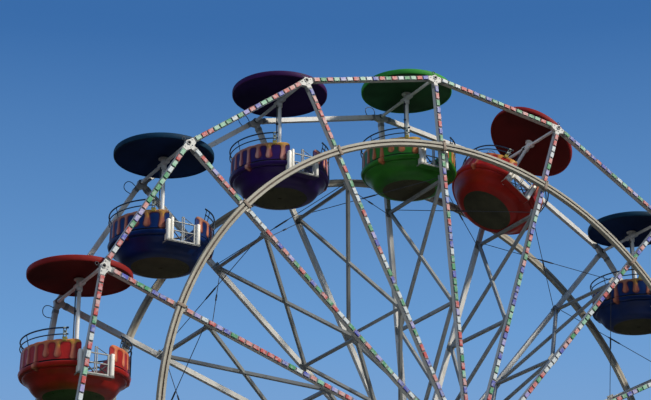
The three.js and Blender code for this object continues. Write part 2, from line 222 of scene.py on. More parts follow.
# %% Basic shapes, each worked on after it is added
def block(corner, opposite, edge=0.003, segments=2):
    """A box between two opposite corners, with bevelled edges."""
    corner = Vector(corner)
    opposite = Vector(opposite)
    put_down()
    bpy.ops.mesh.primitive_cube_add(size=1, location=(corner + opposite) / 2)
    piece = bpy.context.object
    piece.scale = [abs(value) for value in opposite - corner]
    bpy.ops.object.transform_apply()
    return bevel(piece, edge, segments)


def rod(start, end, radius, sides=10, edge=0.0):
    start = Vector(start)
    end = Vector(end)
    along = end - start
    put_down()
    bpy.ops.mesh.primitive_cylinder_add(
        vertices=sides, radius=radius, depth=along.length, location=(start + end) / 2,
        rotation=along.to_track_quat("Z", "Y").to_euler(),
    )
    piece = bpy.context.object
    bpy.ops.object.transform_apply()
    return bevel(piece, edge, 1) if edge else piece


def drawn(points):
    """An outline: one point, extruded from place to place. It stays in edit mode, all selected."""
    put_down()
    bpy.ops.mesh.primitive_plane_add(size=0.01, location=(0, 0, 0))
    bpy.ops.object.mode_set(mode="EDIT")
    bpy.ops.mesh.select_all(action="SELECT")
    bpy.ops.mesh.merge(type="CENTER")
    bpy.ops.mesh.select_all(action="SELECT")
    bpy.ops.transform.translate(value=points[0])
    for here, there in zip(points, points[1:]):
        bpy.ops.mesh.extrude_vertices_move(TRANSFORM_OT_translate={"value": there - here})
    bpy.ops.mesh.select_all(action="SELECT")
    return bpy.context.object


def merge_doubles():
    bpy.ops.mesh.select_all(action="SELECT")
    bpy.ops.mesh.remove_doubles(threshold=1e-5)


def turn_faces_out():
    bpy.ops.mesh.select_all(action="SELECT")
    bpy.ops.mesh.normals_make_consistent(inside=False)
    bpy.ops.object.mode_set(mode="OBJECT")


def spun(outline, steps, about="Z"):
    """Turns an outline of (radius, height) points about Z, or about Y with the height along Y."""
    upright = about == "Z"
    piece = drawn([Vector((r, 0, height) if upright else (r, height, 0)) for r, height in outline])
    axis = (0, 0, 1) if upright else (0, 1, 0)
    bpy.ops.mesh.spin(steps=steps, angle=2 * math.pi, center=(0, 0, 0), axis=axis)
    merge_doubles()
    turn_faces_out()
    return piece


def tube_along(points, radius, detail):
    """A bent tube: a bezier curve through the points, made round and then a mesh."""
    put_down()
    bpy.ops.curve.primitive_bezier_curve_add(location=(0, 0, 0))
    curve = bpy.context.object.data
    spline = curve.splines[0]
    spline.bezier_points.add(len(points) - 2)
    for knot, point in zip(spline.bezier_points, points):
        knot.co = point
        knot.handle_left_type = "AUTO"
        knot.handle_right_type = "AUTO"
    curve.resolution_u = 4
    curve.bevel_depth = radius
    curve.bevel_resolution = detail
    curve.use_fill_caps = True
    bpy.ops.object.convert(target="MESH")
    return bpy.context.object


# %% Bolts
FRONT = (0, -1, 0)
UP = (0, 0, 1)
DOWN = (0, 0, -1)
CORNERS = ((-1, -1), (-1, 1), (1, -1), (1, 1))


def hexagon_bolt(place, outward, width, height):
    """A bolt head with its washer: the top face of a low cylinder is inset and raised."""
    put_down()
    bpy.ops.mesh.primitive_cylinder_add(vertices=6, radius=width, depth=height / 3)
    piece = bpy.context.object
    bpy.ops.object.mode_set(mode="EDIT")
    bpy.ops.mesh.select_all(action="DESELECT")
    bpy.ops.object.mode_set(mode="OBJECT")
    for face in piece.data.polygons:
        face.select = face.normal.z > 0.9
    bpy.ops.object.mode_set(mode="EDIT")
    bpy.ops.mesh.inset(thickness=width * 0.25)
    bpy.ops.mesh.extrude_region_move(TRANSFORM_OT_translate={"value": (0, 0, height)})
    bpy.ops.transform.resize(value=(0.9, 0.9, 1))
    bpy.ops.object.mode_set(mode="OBJECT")
    turn = Vector(outward).to_track_quat("Z", "Y").to_matrix().to_4x4()
    return moved(piece, Matrix.Translation(place) @ turn)


def bolt_circle(count, radius, level, outward, width, height, first=0.0):
    """Bolts on a circle about the line through the origin that they point along."""
    bolts = []
    for turn in range(count):
        angle = first + 2 * math.pi * turn / count
        x = radius * math.cos(angle)
        across = radius * math.sin(angle)
        place = (x, level, across) if outward[1] else (x, across, level)
        bolts.append(hexagon_bolt(place, outward, width, height))
    return bolts


# %% Places round the hub
HALF_STRUT_TURN = about_y(PITCH / 2)
STRUT_MIDDLE = Matrix.Translation((WHEEL_R * math.cos(PITCH / 2), 0, 0)) @ about_y(math.radians(90))
# Each carries a piece that lies along +X from the origin to a spoke.
SPOKE_TURNS = [TO_HUB @ about_y(PITCH * k - FIRST_ANGLE) for k in range(16)]
# Each carries a piece that lies along +X about the origin to the middle of a rim strut.
STRUT_TURNS = [turn @ HALF_STRUT_TURN @ STRUT_MIDDLE for turn in SPOKE_TURNS]


def round_the_hub(model, name):
    return join(copies_of(model, SPOKE_TURNS), name)


# %% [markdown]
# ## Finishes
# Each finish is one node tree on Object coordinates. Paint gets a broad unevenness, small stains and a
# fine bump; colours that are the same all over sit on the shader itself.

# %% Node helpers
class Wires:
    """Adds nodes to one material or world and links them in one call each."""

    def __init__(self, owner):
        self.owner = owner
        self.tree = owner.node_tree
        self.place = self.tree.nodes.new("ShaderNodeTexCoord").outputs["Object"]

    def fill(self, socket, value):
        """Links a socket to another one or sets it; a colour is three numbers."""
        if isinstance(value, bpy.types.NodeSocket):
            self.tree.links.new(value, socket)
        elif socket.type == "RGBA":
            socket.default_value = (*value, 1.0)
        else:
            socket.default_value = value

    def node(self, kind, inputs, **settings):
        made = self.tree.nodes.new(kind)
        for key, value in settings.items():
            setattr(made, key, value)
        for key, value in inputs.items():
            self.fill(made.inputs[key], value)
        return made

    def attribute(self, name):
        return self.node("ShaderNodeAttribute", {}, attribute_name=name).outputs["Fac"]

    def noise(self, scale, detail, roughness=0.55, vector=None):
        return self.node("ShaderNodeTexNoise", {
            "Vector": vector or self.place, "Scale": scale, "Detail": detail, "Roughness": roughness,
        }).outputs["Fac"]

    def between(self, value, low, high, to_low=0.0, to_high=1.0):
        return self.node("ShaderNodeMapRange", {
            "Value": value, "From Min": low, "From Max": high, "To Min": to_low, "To Max": to_high,
        }, interpolation_type="SMOOTHSTEP").outputs["Result"]

    def patches(self, scale, detail, low, high, least=0.0, most=1.0, roughness=0.55):
        """Soft patches of noise, from least to most."""
        return self.between(self.noise(scale, detail, roughness), low, high, least, most)

    def mix(self, share, first, second):
        return self.node("ShaderNodeMix", {0: share, 6: first, 7: second}, data_type="RGBA").outputs[2]

    def maths(self, operation, first, second=0.0):
        return self.node("ShaderNodeMath", {0: first, 1: second}, operation=operation).outputs[0]

    def ramp(self, value, stops, interpolation="LINEAR"):
        made = self.node("ShaderNodeValToRGB", {"Fac": value})
        made.color_ramp.interpolation = interpolation
        elements = made.color_ramp.elements
        for index, (place, colour) in enumerate(stops):
            stop = elements[index] if index < 2 else elements.new(place)
            stop.position = place
            stop.color = (*colour, 1.0)
        return made.outputs["Color"]

    def paint(self, colour):
        self.fill(self.shader.inputs["Base Color"], colour)

    def bump(self, height, strength, distance):
        made = self.node("ShaderNodeBump", {"Height": height, "Strength": strength, "Distance": distance})
        self.fill(self.shader.inputs["Normal"], made.outputs["Normal"])


def new_finish(name, roughness, metallic=0.0, coat=0.0, specular=0.5):
    made = bpy.data.materials.new(name)
    made.use_nodes = True
    wires = Wires(made)
    wires.shader = made.node_tree.nodes["Principled BSDF"]
    for key, value in (
        ("Roughness", roughness), ("Metallic", metallic), ("Coat Weight", coat), ("Coat Roughness", 0.08),
        ("Specular IOR Level", specular),
    ):
        wires.shader.inputs[key].default_value = value
    return wires


def darker(colour, share):
    return tuple(value * share for value in colour)


# %% [markdown]
# ### Painted steel
# White spokes and rims that have stood outside: slightly uneven paint, grey streaks and a few brown rust
# freckles. The same recipe with other colours serves the braces, the towers and the base.

# %% Painted steel
def painted_steel(name, colour, stain, rust_share, roughness=0.45, metallic=0.0):
    wires = new_finish(name, roughness, metallic)
    shade = wires.mix(wires.patches(0.9, 3.0, 0.35, 0.7), colour, darker(colour, 0.86))
    streaked = wires.node("ShaderNodeMapping", {"Vector": wires.place, "Scale": (6.0, 6.0, 1.2)})
    streaks = wires.noise(1.4, 6.0, 0.6, streaked.outputs[0])
    stained = wires.mix(wires.between(streaks, 0.52, 0.72, 0.0, 0.55), shade, stain)
    freckles = wires.patches(26.0, 5.0, 0.66 - rust_share, 0.72 - rust_share, roughness=0.7)
    wires.paint(wires.mix(freckles, stained, (0.16, 0.07, 0.03)))
    wires.fill(wires.shader.inputs["Roughness"], wires.between(freckles, 0.0, 1.0, roughness, 0.85))
    wires.bump(wires.noise(60.0, 3.0), 0.12, 0.002)
    return wires.owner


WHITE_STEEL = painted_steel("white_paint", (0.54, 0.53, 0.48), (0.24, 0.22, 0.17), 0.025)
POLE_PAINT = painted_steel("pole_paint", (0.8, 0.79, 0.73), (0.5, 0.47, 0.38), 0.0, 0.4)
GREY_STEEL = painted_steel("grey_paint", (0.25, 0.26, 0.245), (0.1, 0.1, 0.085), 0.03, 0.5, 0.1)
# Dark paint of the small fittings, also used on the axle ends as painted shade in their holes.
DARK_STEEL_AND_HOLE_SHADE = painted_steel("dark_fittings_and_hole_shade", (0.03, 0.034, 0.04), (0.014, 0.014, 0.014), 0.02, 0.5)
# Near-black paint for the recess under the tub's band: painted shade.
RECESS_PAINTED_SHADE = painted_steel("recess_painted_shade", (0.008, 0.007, 0.007), (0.004, 0.004, 0.004), 0.0, 0.8)
RAIL_PAINT = painted_steel("rail_paint", (0.014, 0.035, 0.06), (0.008, 0.014, 0.02), 0.0, 0.32)
CHANNEL_DIRT = painted_steel("lamp_channel_dirt", (0.16, 0.155, 0.14), (0.05, 0.045, 0.04), 0.03, 0.6)
BASE_STEEL = painted_steel("base_paint", (0.1, 0.115, 0.13), (0.05, 0.045, 0.04), 0.05, 0.55, 0.1)
RUSTY_STEEL = painted_steel("rusty_clamps", (0.26, 0.2, 0.145), (0.14, 0.09, 0.055), 0.06, 0.7)
OLIVE_STEEL = painted_steel("olive_shoes", (0.3, 0.25, 0.045), (0.09, 0.08, 0.02), 0.03, 0.45)
PALE_STEEL = painted_steel("pale_brackets", (0.42, 0.46, 0.37), (0.16, 0.18, 0.13), 0.02, 0.5)
CREAM_PAINT = painted_steel("cream_gate_paint", (0.8, 0.77, 0.67), (0.45, 0.41, 0.32), 0.0, 0.4)
BAR_PAINT = painted_steel("gate_bar_paint", (0.4, 0.4, 0.365), (0.2, 0.185, 0.15), 0.0, 0.5)

# %% [markdown]
# ### Drive ring
# The rolled beam is dull cream. Its groove is dark with old grease and rubber, and the paint beside the
# groove is stained brown, so the finish measures how far a point is from the groove's circle.

# %% Cream beam and its groove
GROOVE_HALF = 0.011
STAIN_REACH = 0.034


def cream_beam():
    wires = new_finish("cream_beam", 0.6)
    shade = wires.mix(wires.patches(1.6, 4.0, 0.35, 0.68), (0.35, 0.325, 0.25), (0.265, 0.245, 0.185))
    stains = wires.patches(5.0, 7.0, 0.55, 0.75, most=0.6, roughness=0.65)
    shade = wires.mix(stains, shade, (0.17, 0.11, 0.06))
    about_hub = wires.node("ShaderNodeMapping", {
        "Vector": wires.place, "Location": (0.0, 0.0, -HUB.z), "Scale": (1.0, 0.0, 1.0),
    })
    radius = wires.node("ShaderNodeVectorMath", {0: about_hub.outputs[0]}, operation="LENGTH")
    away = wires.maths("ABSOLUTE", wires.maths("SUBTRACT", radius.outputs["Value"], RING_R))
    ragged = wires.maths("MULTIPLY", wires.noise(18.0, 5.0), 0.02)
    beside = wires.between(wires.maths("ADD", away, ragged), STAIN_REACH, GROOVE_HALF + 0.008, 0.0, 0.7)
    wires.paint(wires.mix(beside, shade, (0.12, 0.085, 0.05)))
    wires.bump(wires.noise(40.0, 4.0), 0.2, 0.002)
    return wires.owner


def groove_grime():
    wires = new_finish("groove_grime", 0.75)
    mottle = wires.patches(7.0, 6.0, 0.3, 0.7)
    wires.paint(wires.mix(mottle, (0.05, 0.034, 0.024), (0.12, 0.085, 0.06)))
    wires.bump(wires.noise(50.0, 4.0), 0.3, 0.002)
    return wires.owner


CREAM_BEAM = cream_beam()
GROOVE_GRIME = groove_grime()

# %% [markdown]
# ### Moulded tubs
# Fibreglass in four colours. The drips are painted on a low moulding that the shell carries as its own
# attribute: the distance, in metres, to the edge of the nearest drip. The finish turns that distance into
# a crisp line with a dark outline. Each drip warms from top to tip; its right side gets painted shade.

# %% Fibreglass with painted drips
# Shell, outline of a drip, and the drip's top, tip and painted shade for its right side.
TUB_HUES = {
    "red": (
        (0.42, 0.016, 0.008), (0.2, 0.01, 0.006),
        (0.48, 0.14, 0.05), (0.56, 0.17, 0.08), (0.26, 0.04, 0.018),
    ),
    "blue": (
        (0.001, 0.021, 0.12), (0.05, 0.008, 0.014),
        (0.28, 0.13, 0.08), (0.46, 0.16, 0.085), (0.17, 0.045, 0.036),
    ),
    "purple": (
        (0.026, 0.006, 0.085), (0.06, 0.005, 0.014),
        (0.3, 0.13, 0.09), (0.6, 0.27, 0.2), (0.18, 0.035, 0.04),
    ),
    "green": (
        (0.026, 0.19, 0.014), (0.07, 0.07, 0.012),
        (0.46, 0.29, 0.06), (0.48, 0.18, 0.06), (0.32, 0.09, 0.03),
    ),
}
HUE_ORDER = list(TUB_HUES)
WARM_YELLOW = (0.5, 0.26, 0.035)


def tub_finish(hue):
    wires = new_finish(f"{hue}_fibreglass", 0.4, 0.0, 0.06, 0.22)
    plain, outline, top, tip, dark = TUB_HUES[hue]
    edge = wires.attribute("drip_distance")
    depth = wires.attribute("drip_depth")
    side = wires.attribute("drip_side")
    cloud = wires.patches(3.0, 5.0, 0.3, 0.7)
    base = wires.mix(cloud, plain, darker(plain, 0.6))
    base = wires.mix(wires.between(edge, 0.022, 0.004, 0.0, 0.85), base, outline)
    fade = wires.between(wires.maths("ADD", depth, wires.maths("MULTIPLY", cloud, 0.2)), 0.1, 0.6)
    paint = wires.mix(fade, top, tip)
    # Painted shade: each drip is darkened on its right side, as seen from outside, below its top.
    shaded = wires.maths("MULTIPLY", wires.between(side, -0.3, 0.65), wires.between(depth, 0.1, 0.3))
    paint = wires.mix(shaded, paint, dark)
    paint = wires.mix(wires.between(edge, -0.014, -0.002, 0.0, 0.5), paint, dark)
    patchy = wires.maths("MULTIPLY", wires.attribute("warm_patch"), wires.patches(16.0, 4.0, 0.3, 0.6))
    paint = wires.mix(patchy, paint, WARM_YELLOW)
    worn = wires.patches(18.0, 6.0, 0.62, 0.7, 1.0, 0.45, 0.7)
    inside = wires.maths("MULTIPLY", wires.between(edge, 0.003, -0.003), worn)
    wires.paint(wires.mix(inside, base, paint))
    wires.bump(wires.noise(9.0, 3.0), 0.05, 0.01)
    return wires.owner


TUB_FINISHES = {hue: tub_finish(hue) for hue in HUE_ORDER}

# %% [markdown]
# ### Canopies, floor pans and deck
# A canopy shows its hue on the band and the dome, and a much darker paint below. The floor pans are dull
# olive grey from years of road dirt.

# %% Canopy paints, floor pan and chequer plate
def dusty_paint(name, colour, second, roughness=0.6):
    """Paint with clouds of a second shade and a little dust."""
    wires = new_finish(name, roughness, specular=0.12)
    shade = wires.mix(wires.patches(2.2, 6.0, 0.3, 0.72, roughness=0.6), colour, second)
    dust = wires.patches(11.0, 6.0, 0.58, 0.78, most=0.2, roughness=0.7)
    wires.paint(wires.mix(dust, shade, (0.16, 0.15, 0.13)))
    wires.bump(wires.noise(14.0, 4.0), 0.06, 0.006)
    return wires.owner


def underside_paint(name, colour):
    """Dull dark paint with a slow change of shade and no gloss."""
    wires = new_finish(name, 0.75, specular=0.15)
    cloud = wires.patches(1.1, 3.0, 0.3, 0.7, roughness=0.5)
    wires.paint(wires.mix(cloud, colour, darker(colour, 0.45)))
    wires.bump(wires.noise(14.0, 4.0), 0.05, 0.006)
    return wires.owner


CANOPY_HUES = {
    "red": ((0.25, 0.018, 0.014), (0.18, 0.012, 0.01), (0.13, 0.014, 0.011)),
    "blue": ((0.007, 0.038, 0.075), (0.005, 0.024, 0.05), (0.007, 0.03, 0.11)),
    "purple": ((0.05, 0.01, 0.075), (0.032, 0.007, 0.05), (0.03, 0.011, 0.095)),
    "green": ((0.05, 0.32, 0.04), (0.03, 0.2, 0.03), (0.04, 0.14, 0.06)),
}
CANOPY_FINISHES = {
    hue: [dusty_paint(f"{hue}_canopy_paint", top, cloud), underside_paint(f"{hue}_underside", below)]
    for hue, (top, cloud, below) in CANOPY_HUES.items()
}
FLOOR_PAN = dusty_paint("floor_pan_paint", (0.075, 0.07, 0.04), (0.045, 0.043, 0.026), 0.7)


def chequer_plate():
    wires = new_finish("chequer_plate", 0.42, 0.7)
    turned = wires.node("ShaderNodeMapping", {"Vector": wires.place, "Rotation": (0, 0, math.radians(45))})
    lozenge = wires.node("ShaderNodeTexBrick", {
        "Vector": turned.outputs[0], "Scale": 12.0, "Mortar Size": 0.035, "Mortar Smooth": 0.4,
    })
    wear = wires.patches(2.5, 6.0, 0.35, 0.7)
    wires.paint(wires.mix(wear, (0.3, 0.31, 0.31), (0.17, 0.17, 0.16)))
    wires.bump(lozenge.outputs["Fac"], 0.5, 0.003)
    return wires.owner


CHEQUER_PLATE = chequer_plate()

# %% [markdown]
# ### Lamps
# Each lamp is one plastic lens. A number carried by the faces of a lens picks its colour, and soft pale
# patches over it are painted reflections.

# %% Lamp lenses
LAMP_COLOURS = [
    (0.52, 0.57, 0.56), (0.46, 0.045, 0.035), (0.025, 0.24, 0.08), (0.045, 0.06, 0.36),
    (0.52, 0.2, 0.17), (0.2, 0.44, 0.27), (0.27, 0.24, 0.5),
]
LAMP_WEIGHTS = (4, 5, 5, 4, 2, 2, 2)


def lamp_lens():
    wires = new_finish("lamp_lens", 0.4, 0.0, 0.1, 0.3)
    stops = [(index / len(LAMP_COLOURS), colour) for index, colour in enumerate(LAMP_COLOURS)]
    lit = wires.ramp(wires.attribute("lamp_colour"), stops, "CONSTANT")
    # Painted reflections: soft pale patches mixed over the lens colour stand in for glints.
    lens_with_painted_glints = wires.mix(wires.patches(15.0, 3.0, 0.42, 0.62, 0.03, 0.42), lit, (0.5, 0.52, 0.5))
    dirt = wires.patches(24.0, 5.0, 0.55, 0.72, most=0.75)
    wires.paint(wires.mix(dirt, lens_with_painted_glints, (0.12, 0.11, 0.1)))
    return wires.owner


LAMP_LENS = lamp_lens()
print("finishes:", len(bpy.data.materials))

# %% [markdown]
# ## Paint the steel that came with the frame
# These nodes already have their true shape, so each keeps its mesh and gets a finish.

# %% Paint the CAD nodes
NODE_FINISHES = [
    (WHITE_STEEL, "white_steel", ("front_spokes", "back_spokes", "front_rim", "back_rim")),
    (WHITE_STEEL, "white_steel", ("front_tower", "back_tower")),
    (GREY_STEEL, "grey_steel", ("hub_and_cross_bracing",)),
    (BASE_STEEL, "base_steel", ("base_frame",)),
    (CHEQUER_PLATE, "deck_plate", ("boarding_platform",)),
]
for finish, slot_name, node_names in NODE_FINISHES:
    for node_name in node_names:
        node = frame["nodes"][node_name]
        node.data.materials.clear()
        node.data.materials.append(finish)


def dress(piece, finish, body, angle=35):
    """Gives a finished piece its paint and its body."""
    piece.data.materials.clear()
    piece.data.materials.append(finish)
    smooth(piece, angle)
    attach(piece, body)


def dress_both(piece, twin_name, finish, body, angle=35):
    """Dresses a piece and its mirrored twin across the wheel, whose faces are turned out again."""
    twin = copy_by(piece, Matrix.Scale(-1, 4, (0, 1, 0)), twin_name)
    twin.data.flip_normals()
    dress(piece, finish, body, angle)
    dress(twin, finish, body, angle)
    return piece, twin


def number_faces(piece, number_of):
    """Tells each face which of the piece's paints it gets."""
    for face in piece.data.polygons:
        face.material_index = int(number_of(face))


def carry(piece, name, values, domain="POINT"):
    """Stores a number on each point or face, which a finish reads by its name."""
    piece.data.attributes.new(name, "FLOAT", domain).data.foreach_set("value", values)


# %% [markdown]
# ## Drive ring
# A rolled beam with a groove along its outer face. It could be a thin torus, but the square edges and the
# groove are what one sees, so its section is drawn once and spun about the wheel's axis.

# %% Spin the two drive rings
GROOVE_DEPTH = 0.014
RING_EDGE = 0.006
RING_STEPS = 192


def ring_outline():
    inner = RING_R - RING_HEIGHT / 2
    outer = RING_R + RING_HEIGHT / 2
    front = -RING_FACE
    back = -OUTER_FACE - 0.0003
    return [
        (inner, back), (inner, front + RING_EDGE), (inner + RING_EDGE, front),
        (RING_R - GROOVE_HALF, front), (RING_R - GROOVE_HALF * 0.8, front + GROOVE_DEPTH),
        (RING_R + GROOVE_HALF * 0.8, front + GROOVE_DEPTH), (RING_R + GROOVE_HALF, front),
        (outer - RING_EDGE, front), (outer, front + RING_EDGE), (outer, back), (inner, back),
    ]


def in_groove(face):
    radius = math.hypot(face.center.x, face.center.z - HUB.z)
    return abs(radius - RING_R) < GROOVE_HALF and abs(face.center.y) > RING_FACE - GROOVE_DEPTH - 0.001


front_ring = settle(moved(spun(ring_outline(), RING_STEPS, "Y"), TO_HUB), "front_ring_beam")
rings = dress_both(front_ring, "back_ring_beam", CREAM_BEAM, "wheel", 30)
for ring, node_name in zip(rings, ("front_drive_ring", "back_drive_ring")):
    ring.data.materials.append(GROOVE_GRIME)
    number_faces(ring, in_groove)
    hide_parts(node_name)

# %% [markdown]
# ## Ring clamps
# At each spoke a rusty strap holds the beam: a plate over the outer face, two cheeks beside the beam and
# two bolts.

# %% One clamp, then sixteen at the front and sixteen at the back
CLAMP_HALF = 0.025
CLAMP_REACH = RING_HEIGHT / 2 + 0.012
CHEEK = 0.011
STRAP = 0.0125
CLAMP_GAP = 0.0005


def ring_clamp():
    strap_y = -RING_FACE - STRAP
    end = CLAMP_REACH + 0.02
    parts = [block(
        (RING_R - end, strap_y, -CLAMP_HALF), (RING_R + end, -RING_FACE - CLAMP_GAP, CLAMP_HALF)
    )]
    for side in (-1, 1):
        near = RING_R + side * (CLAMP_REACH - CHEEK)
        far = RING_R + side * CLAMP_REACH
        parts.append(block((near, -RING_FACE, -CLAMP_HALF), (far, -OUTER_FACE - CLAMP_GAP, CLAMP_HALF)))
        parts.append(hexagon_bolt((far + side * 0.006, strap_y, 0), FRONT, 0.014, 0.01))
    return join(parts, "ring_clamp")


front_clamps = round_the_hub(ring_clamp(), "front_ring_clamps")
dress_both(front_clamps, "back_ring_clamps", RUSTY_STEEL, "wheel")

# %% [markdown]
# ## Lamp strips
# The front spokes and the front rim carry strips of coloured lamps; the back has none. One lens is
# modelled, an array makes a row of them on a channel, and the row is copied round the hub. Each lens then
# draws a colour from a fixed random sequence.

# %% Rows of lenses
LENS_PITCH = 0.128
LENS_LENGTH = 0.108
LENS_HALF = 0.0335
LENS_RISE = 0.014
CHANNEL_RISE = 0.007
CHANNEL_HALF = 0.0378
FACES_PER_LENS = 26                            # a cube's six, with its edges and corners bevelled


def lamp_row(start, end):
    """Lenses and their channel along +X on the outer face, as many as fit from start to end."""
    count = int((end - start) / LENS_PITCH)
    seat = -OUTER_FACE - CHANNEL_RISE
    lens = block((start, seat - LENS_RISE, -LENS_HALF), (start + LENS_LENGTH, seat, LENS_HALF), 0.007, 1)
    modified(
        lens, "ARRAY", count=count, use_relative_offset=False, use_constant_offset=True,
        constant_offset_displace=(LENS_PITCH, 0, 0),
    )
    low = (start - 0.02, seat, -CHANNEL_HALF)
    high = (start + count * LENS_PITCH, -OUTER_FACE - SEAT_GAP, CHANNEL_HALF)
    return lens, block(low, high, 0.003, 1)


beside_ring = RING_HEIGHT / 2 + 0.035
free_strut = 2 * (STRUT_HALF - GUSSET_REACH + 0.005)
rim_start = -int(free_strut / LENS_PITCH) * LENS_PITCH / 2
lens_rows = []
channels = []
for start, end, turns in (
    (HUB_DISC_R + 0.12, RING_R - beside_ring, SPOKE_TURNS),
    (RING_R + beside_ring + 0.02, WHEEL_R - 0.1, SPOKE_TURNS),
    (rim_start, rim_start + free_strut, STRUT_TURNS),
):
    lens, channel = lamp_row(start, end)
    lens_rows += copies_of(lens, turns)
    channels += copies_of(channel, turns)
lamp_lenses = join(lens_rows, "lamp_lenses")
lamp_channels = join(channels, "lamp_channels")

# %% Colours of the lenses
sequence = random.Random(16)
lamp_count = len(lamp_lenses.data.polygons) // FACES_PER_LENS
picked = []
for _ in range(lamp_count):
    colour = sequence.choices(range(len(LAMP_COLOURS)), weights=LAMP_WEIGHTS)[0]
    picked.extend([(colour + 0.5) / len(LAMP_COLOURS)] * FACES_PER_LENS)
carry(lamp_lenses, "lamp_colour", picked, "FACE")
dress(lamp_lenses, LAMP_LENS, "wheel")
dress(lamp_channels, CHANNEL_DIRT, "wheel")
print("lamps:", lamp_count, "faces left over:", len(lamp_lenses.data.polygons) % FACES_PER_LENS)

# %% [markdown]
# ## Rim corners
# Each corner has a round collar on the axle's end, four bolts through the gusset, clamp sleeves on the
# tubes beside it and an eye bolt above. Behind the back rim a bent wire hoop stands out beside each joint.

# %% Corner fittings
def corner_fittings():
    seat = -OUTER_FACE - SEAT_GAP
    front = -OUTER_FACE - 0.013
    collar = spun([
        (0.029, seat), (0.038, seat), (0.038, front + 0.003), (0.035, front), (0.031, front), (0.029, seat),
    ], 24, "Y")
    parts = [moved(collar, Matrix.Translation((WHEEL_R, 0, 0)))]
    for side in (-1, 1):
        for reach, offset in ((0.085, 0.0), (0.02, 0.066)):
            place = (WHEEL_R - offset, -OUTER_FACE, side * reach)
            parts.append(hexagon_bolt(place, FRONT, 0.0115, 0.01))
    return join(parts, "corner_fittings")


front_corners = round_the_hub(corner_fittings(), "front_corner_fittings")
dress_both(front_corners, "back_corner_fittings", WHITE_STEEL, "wheel")

# %% Clamp sleeves
SLEEVE_HALF = TUBE / 2 + 0.005


def sleeve(start, end):
    """A thin sleeve round a square tube that runs along X."""
    return block(
        (start, -MID_FACE - SLEEVE_HALF, -SLEEVE_HALF), (end, -MID_FACE + SLEEVE_HALF, SLEEVE_HALF), 0.004
    )


strut_end = GUSSET_REACH - STRUT_HALF
both_ends = [turn @ end for turn in STRUT_TURNS for end in (Matrix.Identity(4), about_y(math.pi))]
sleeves = copies_of(sleeve(WHEEL_R - 0.185, WHEEL_R - 0.125), SPOKE_TURNS)
sleeves += copies_of(sleeve(strut_end + 0.012, strut_end + 0.066), both_ends)
dress_both(join(sleeves, "front_tube_sleeves"), "back_tube_sleeves", GREY_STEEL, "wheel")

# %% Wire hoops behind the back rim and eye bolts on the front rim
HOOP_REACH = 0.15
HOOP_HALF = 0.085
HOOP_FOOT = TUBE / 2
half_hoop = [(1.0, 0.0), (1.05, 0.7), (0.6, 1.0)]
hoop = tube_along([
    (HOOP_HALF * across, MID_FACE, HOOP_FOOT + HOOP_REACH * up)
    for across, up in [*[(-across, up) for across, up in half_hoop], *reversed(half_hoop)]
], 0.0065, 2)
moved(hoop, Matrix.Translation((STRUT_HALF - 0.19, 0, 0)))
dress(join(copies_of(hoop, STRUT_TURNS), "back_rim_hoops"), DARK_STEEL_AND_HOLE_SHADE, "wheel", 60)

EYE_R = 0.026
EYE_WIRE = 0.006
eighths = [turn * math.pi / 4 for turn in range(9)]
eye_ring = spun([(EYE_R + EYE_WIRE * math.cos(a), EYE_WIRE * math.sin(a)) for a in eighths], 20, "Y")
moved(eye_ring, Matrix.Translation((WHEEL_R + 0.101, -MID_FACE, 0)))
eye_stem = rod((WHEEL_R + 0.05, -MID_FACE, 0), (WHEEL_R + 0.08, -MID_FACE, 0), 0.008, 10, 0.001)
front_eyes = round_the_hub(join([eye_ring, eye_stem], "eye_bolt"), "front_eye_bolts")
dress(front_eyes, DARK_STEEL_AND_HOLE_SHADE, "wheel", 60)

# %% [markdown]
# ## Spreader joints and stay cables
# Every spreader is bolted to its spokes through small plates. At the outer spreaders thin steel cables
# cross from each pair of spokes to the next, each with a turnbuckle in the middle.

# %% Joint plates on the inner side of the spokes
PLATE_HALF = 0.075
PLATE_BOLT = 0.052


def joint_plates(radius):
    parts = []
    for side in (-1, 1):
        face = side * (INNER_FACE - SEAT_GAP)
        inner = side * (INNER_FACE - 0.0105)
        parts.append(block(
            (radius - PLATE_HALF, face, -PLATE_HALF), (radius + PLATE_HALF, inner, PLATE_HALF), 0.002, 1
        ))
        for x, z in CORNERS:
            place = (radius + PLATE_BOLT * x, inner, PLATE_BOLT * z)
            parts.append(hexagon_bolt(place, (0, -side, 0), 0.011, 0.009))
    return join(parts, "joint_plates")


plates = [round_the_hub(joint_plates(radius), "plates") for radius in (OUTER_SPREADER_R, INNER_SPREADER_R)]
dress(join(plates, "spreader_joint_plates"), GREY_STEEL, "wheel")

# %% Stay cables
CABLE_R = 0.006
BUCKLE_HALF = 0.11


def stay(radius, side):
    """One cable from spoke 0 on one side of the wheel to spoke 1 on the other."""
    y = side * (INNER_FACE - 0.02)
    here = Vector((radius, y, 0))
    there = about_y(PITCH) @ Vector((radius, -y, 0))
    middle = (here + there) / 2
    half = (there - here).normalized() * BUCKLE_HALF
    return [
        rod(here, there, CABLE_R, 8),
        rod(middle - half, middle + half, 0.014, 8, 0.004),
        rod(middle - half * 1.25, middle - half, 0.009, 6),
        rod(middle + half, middle + half * 1.25, 0.009, 6),
    ]


stays = stay(OUTER_SPREADER_R + 0.055, 1) + stay(OUTER_SPREADER_R - 0.055, -1)
dress(round_the_hub(join(stays, "stays"), "stay_cables"), DARK_STEEL_AND_HOLE_SHADE, "wheel", 60)

# %% [markdown]
# ## Hub
# The spoke discs are bolted to the spool, and a turned boss stands round the shaft on each side.

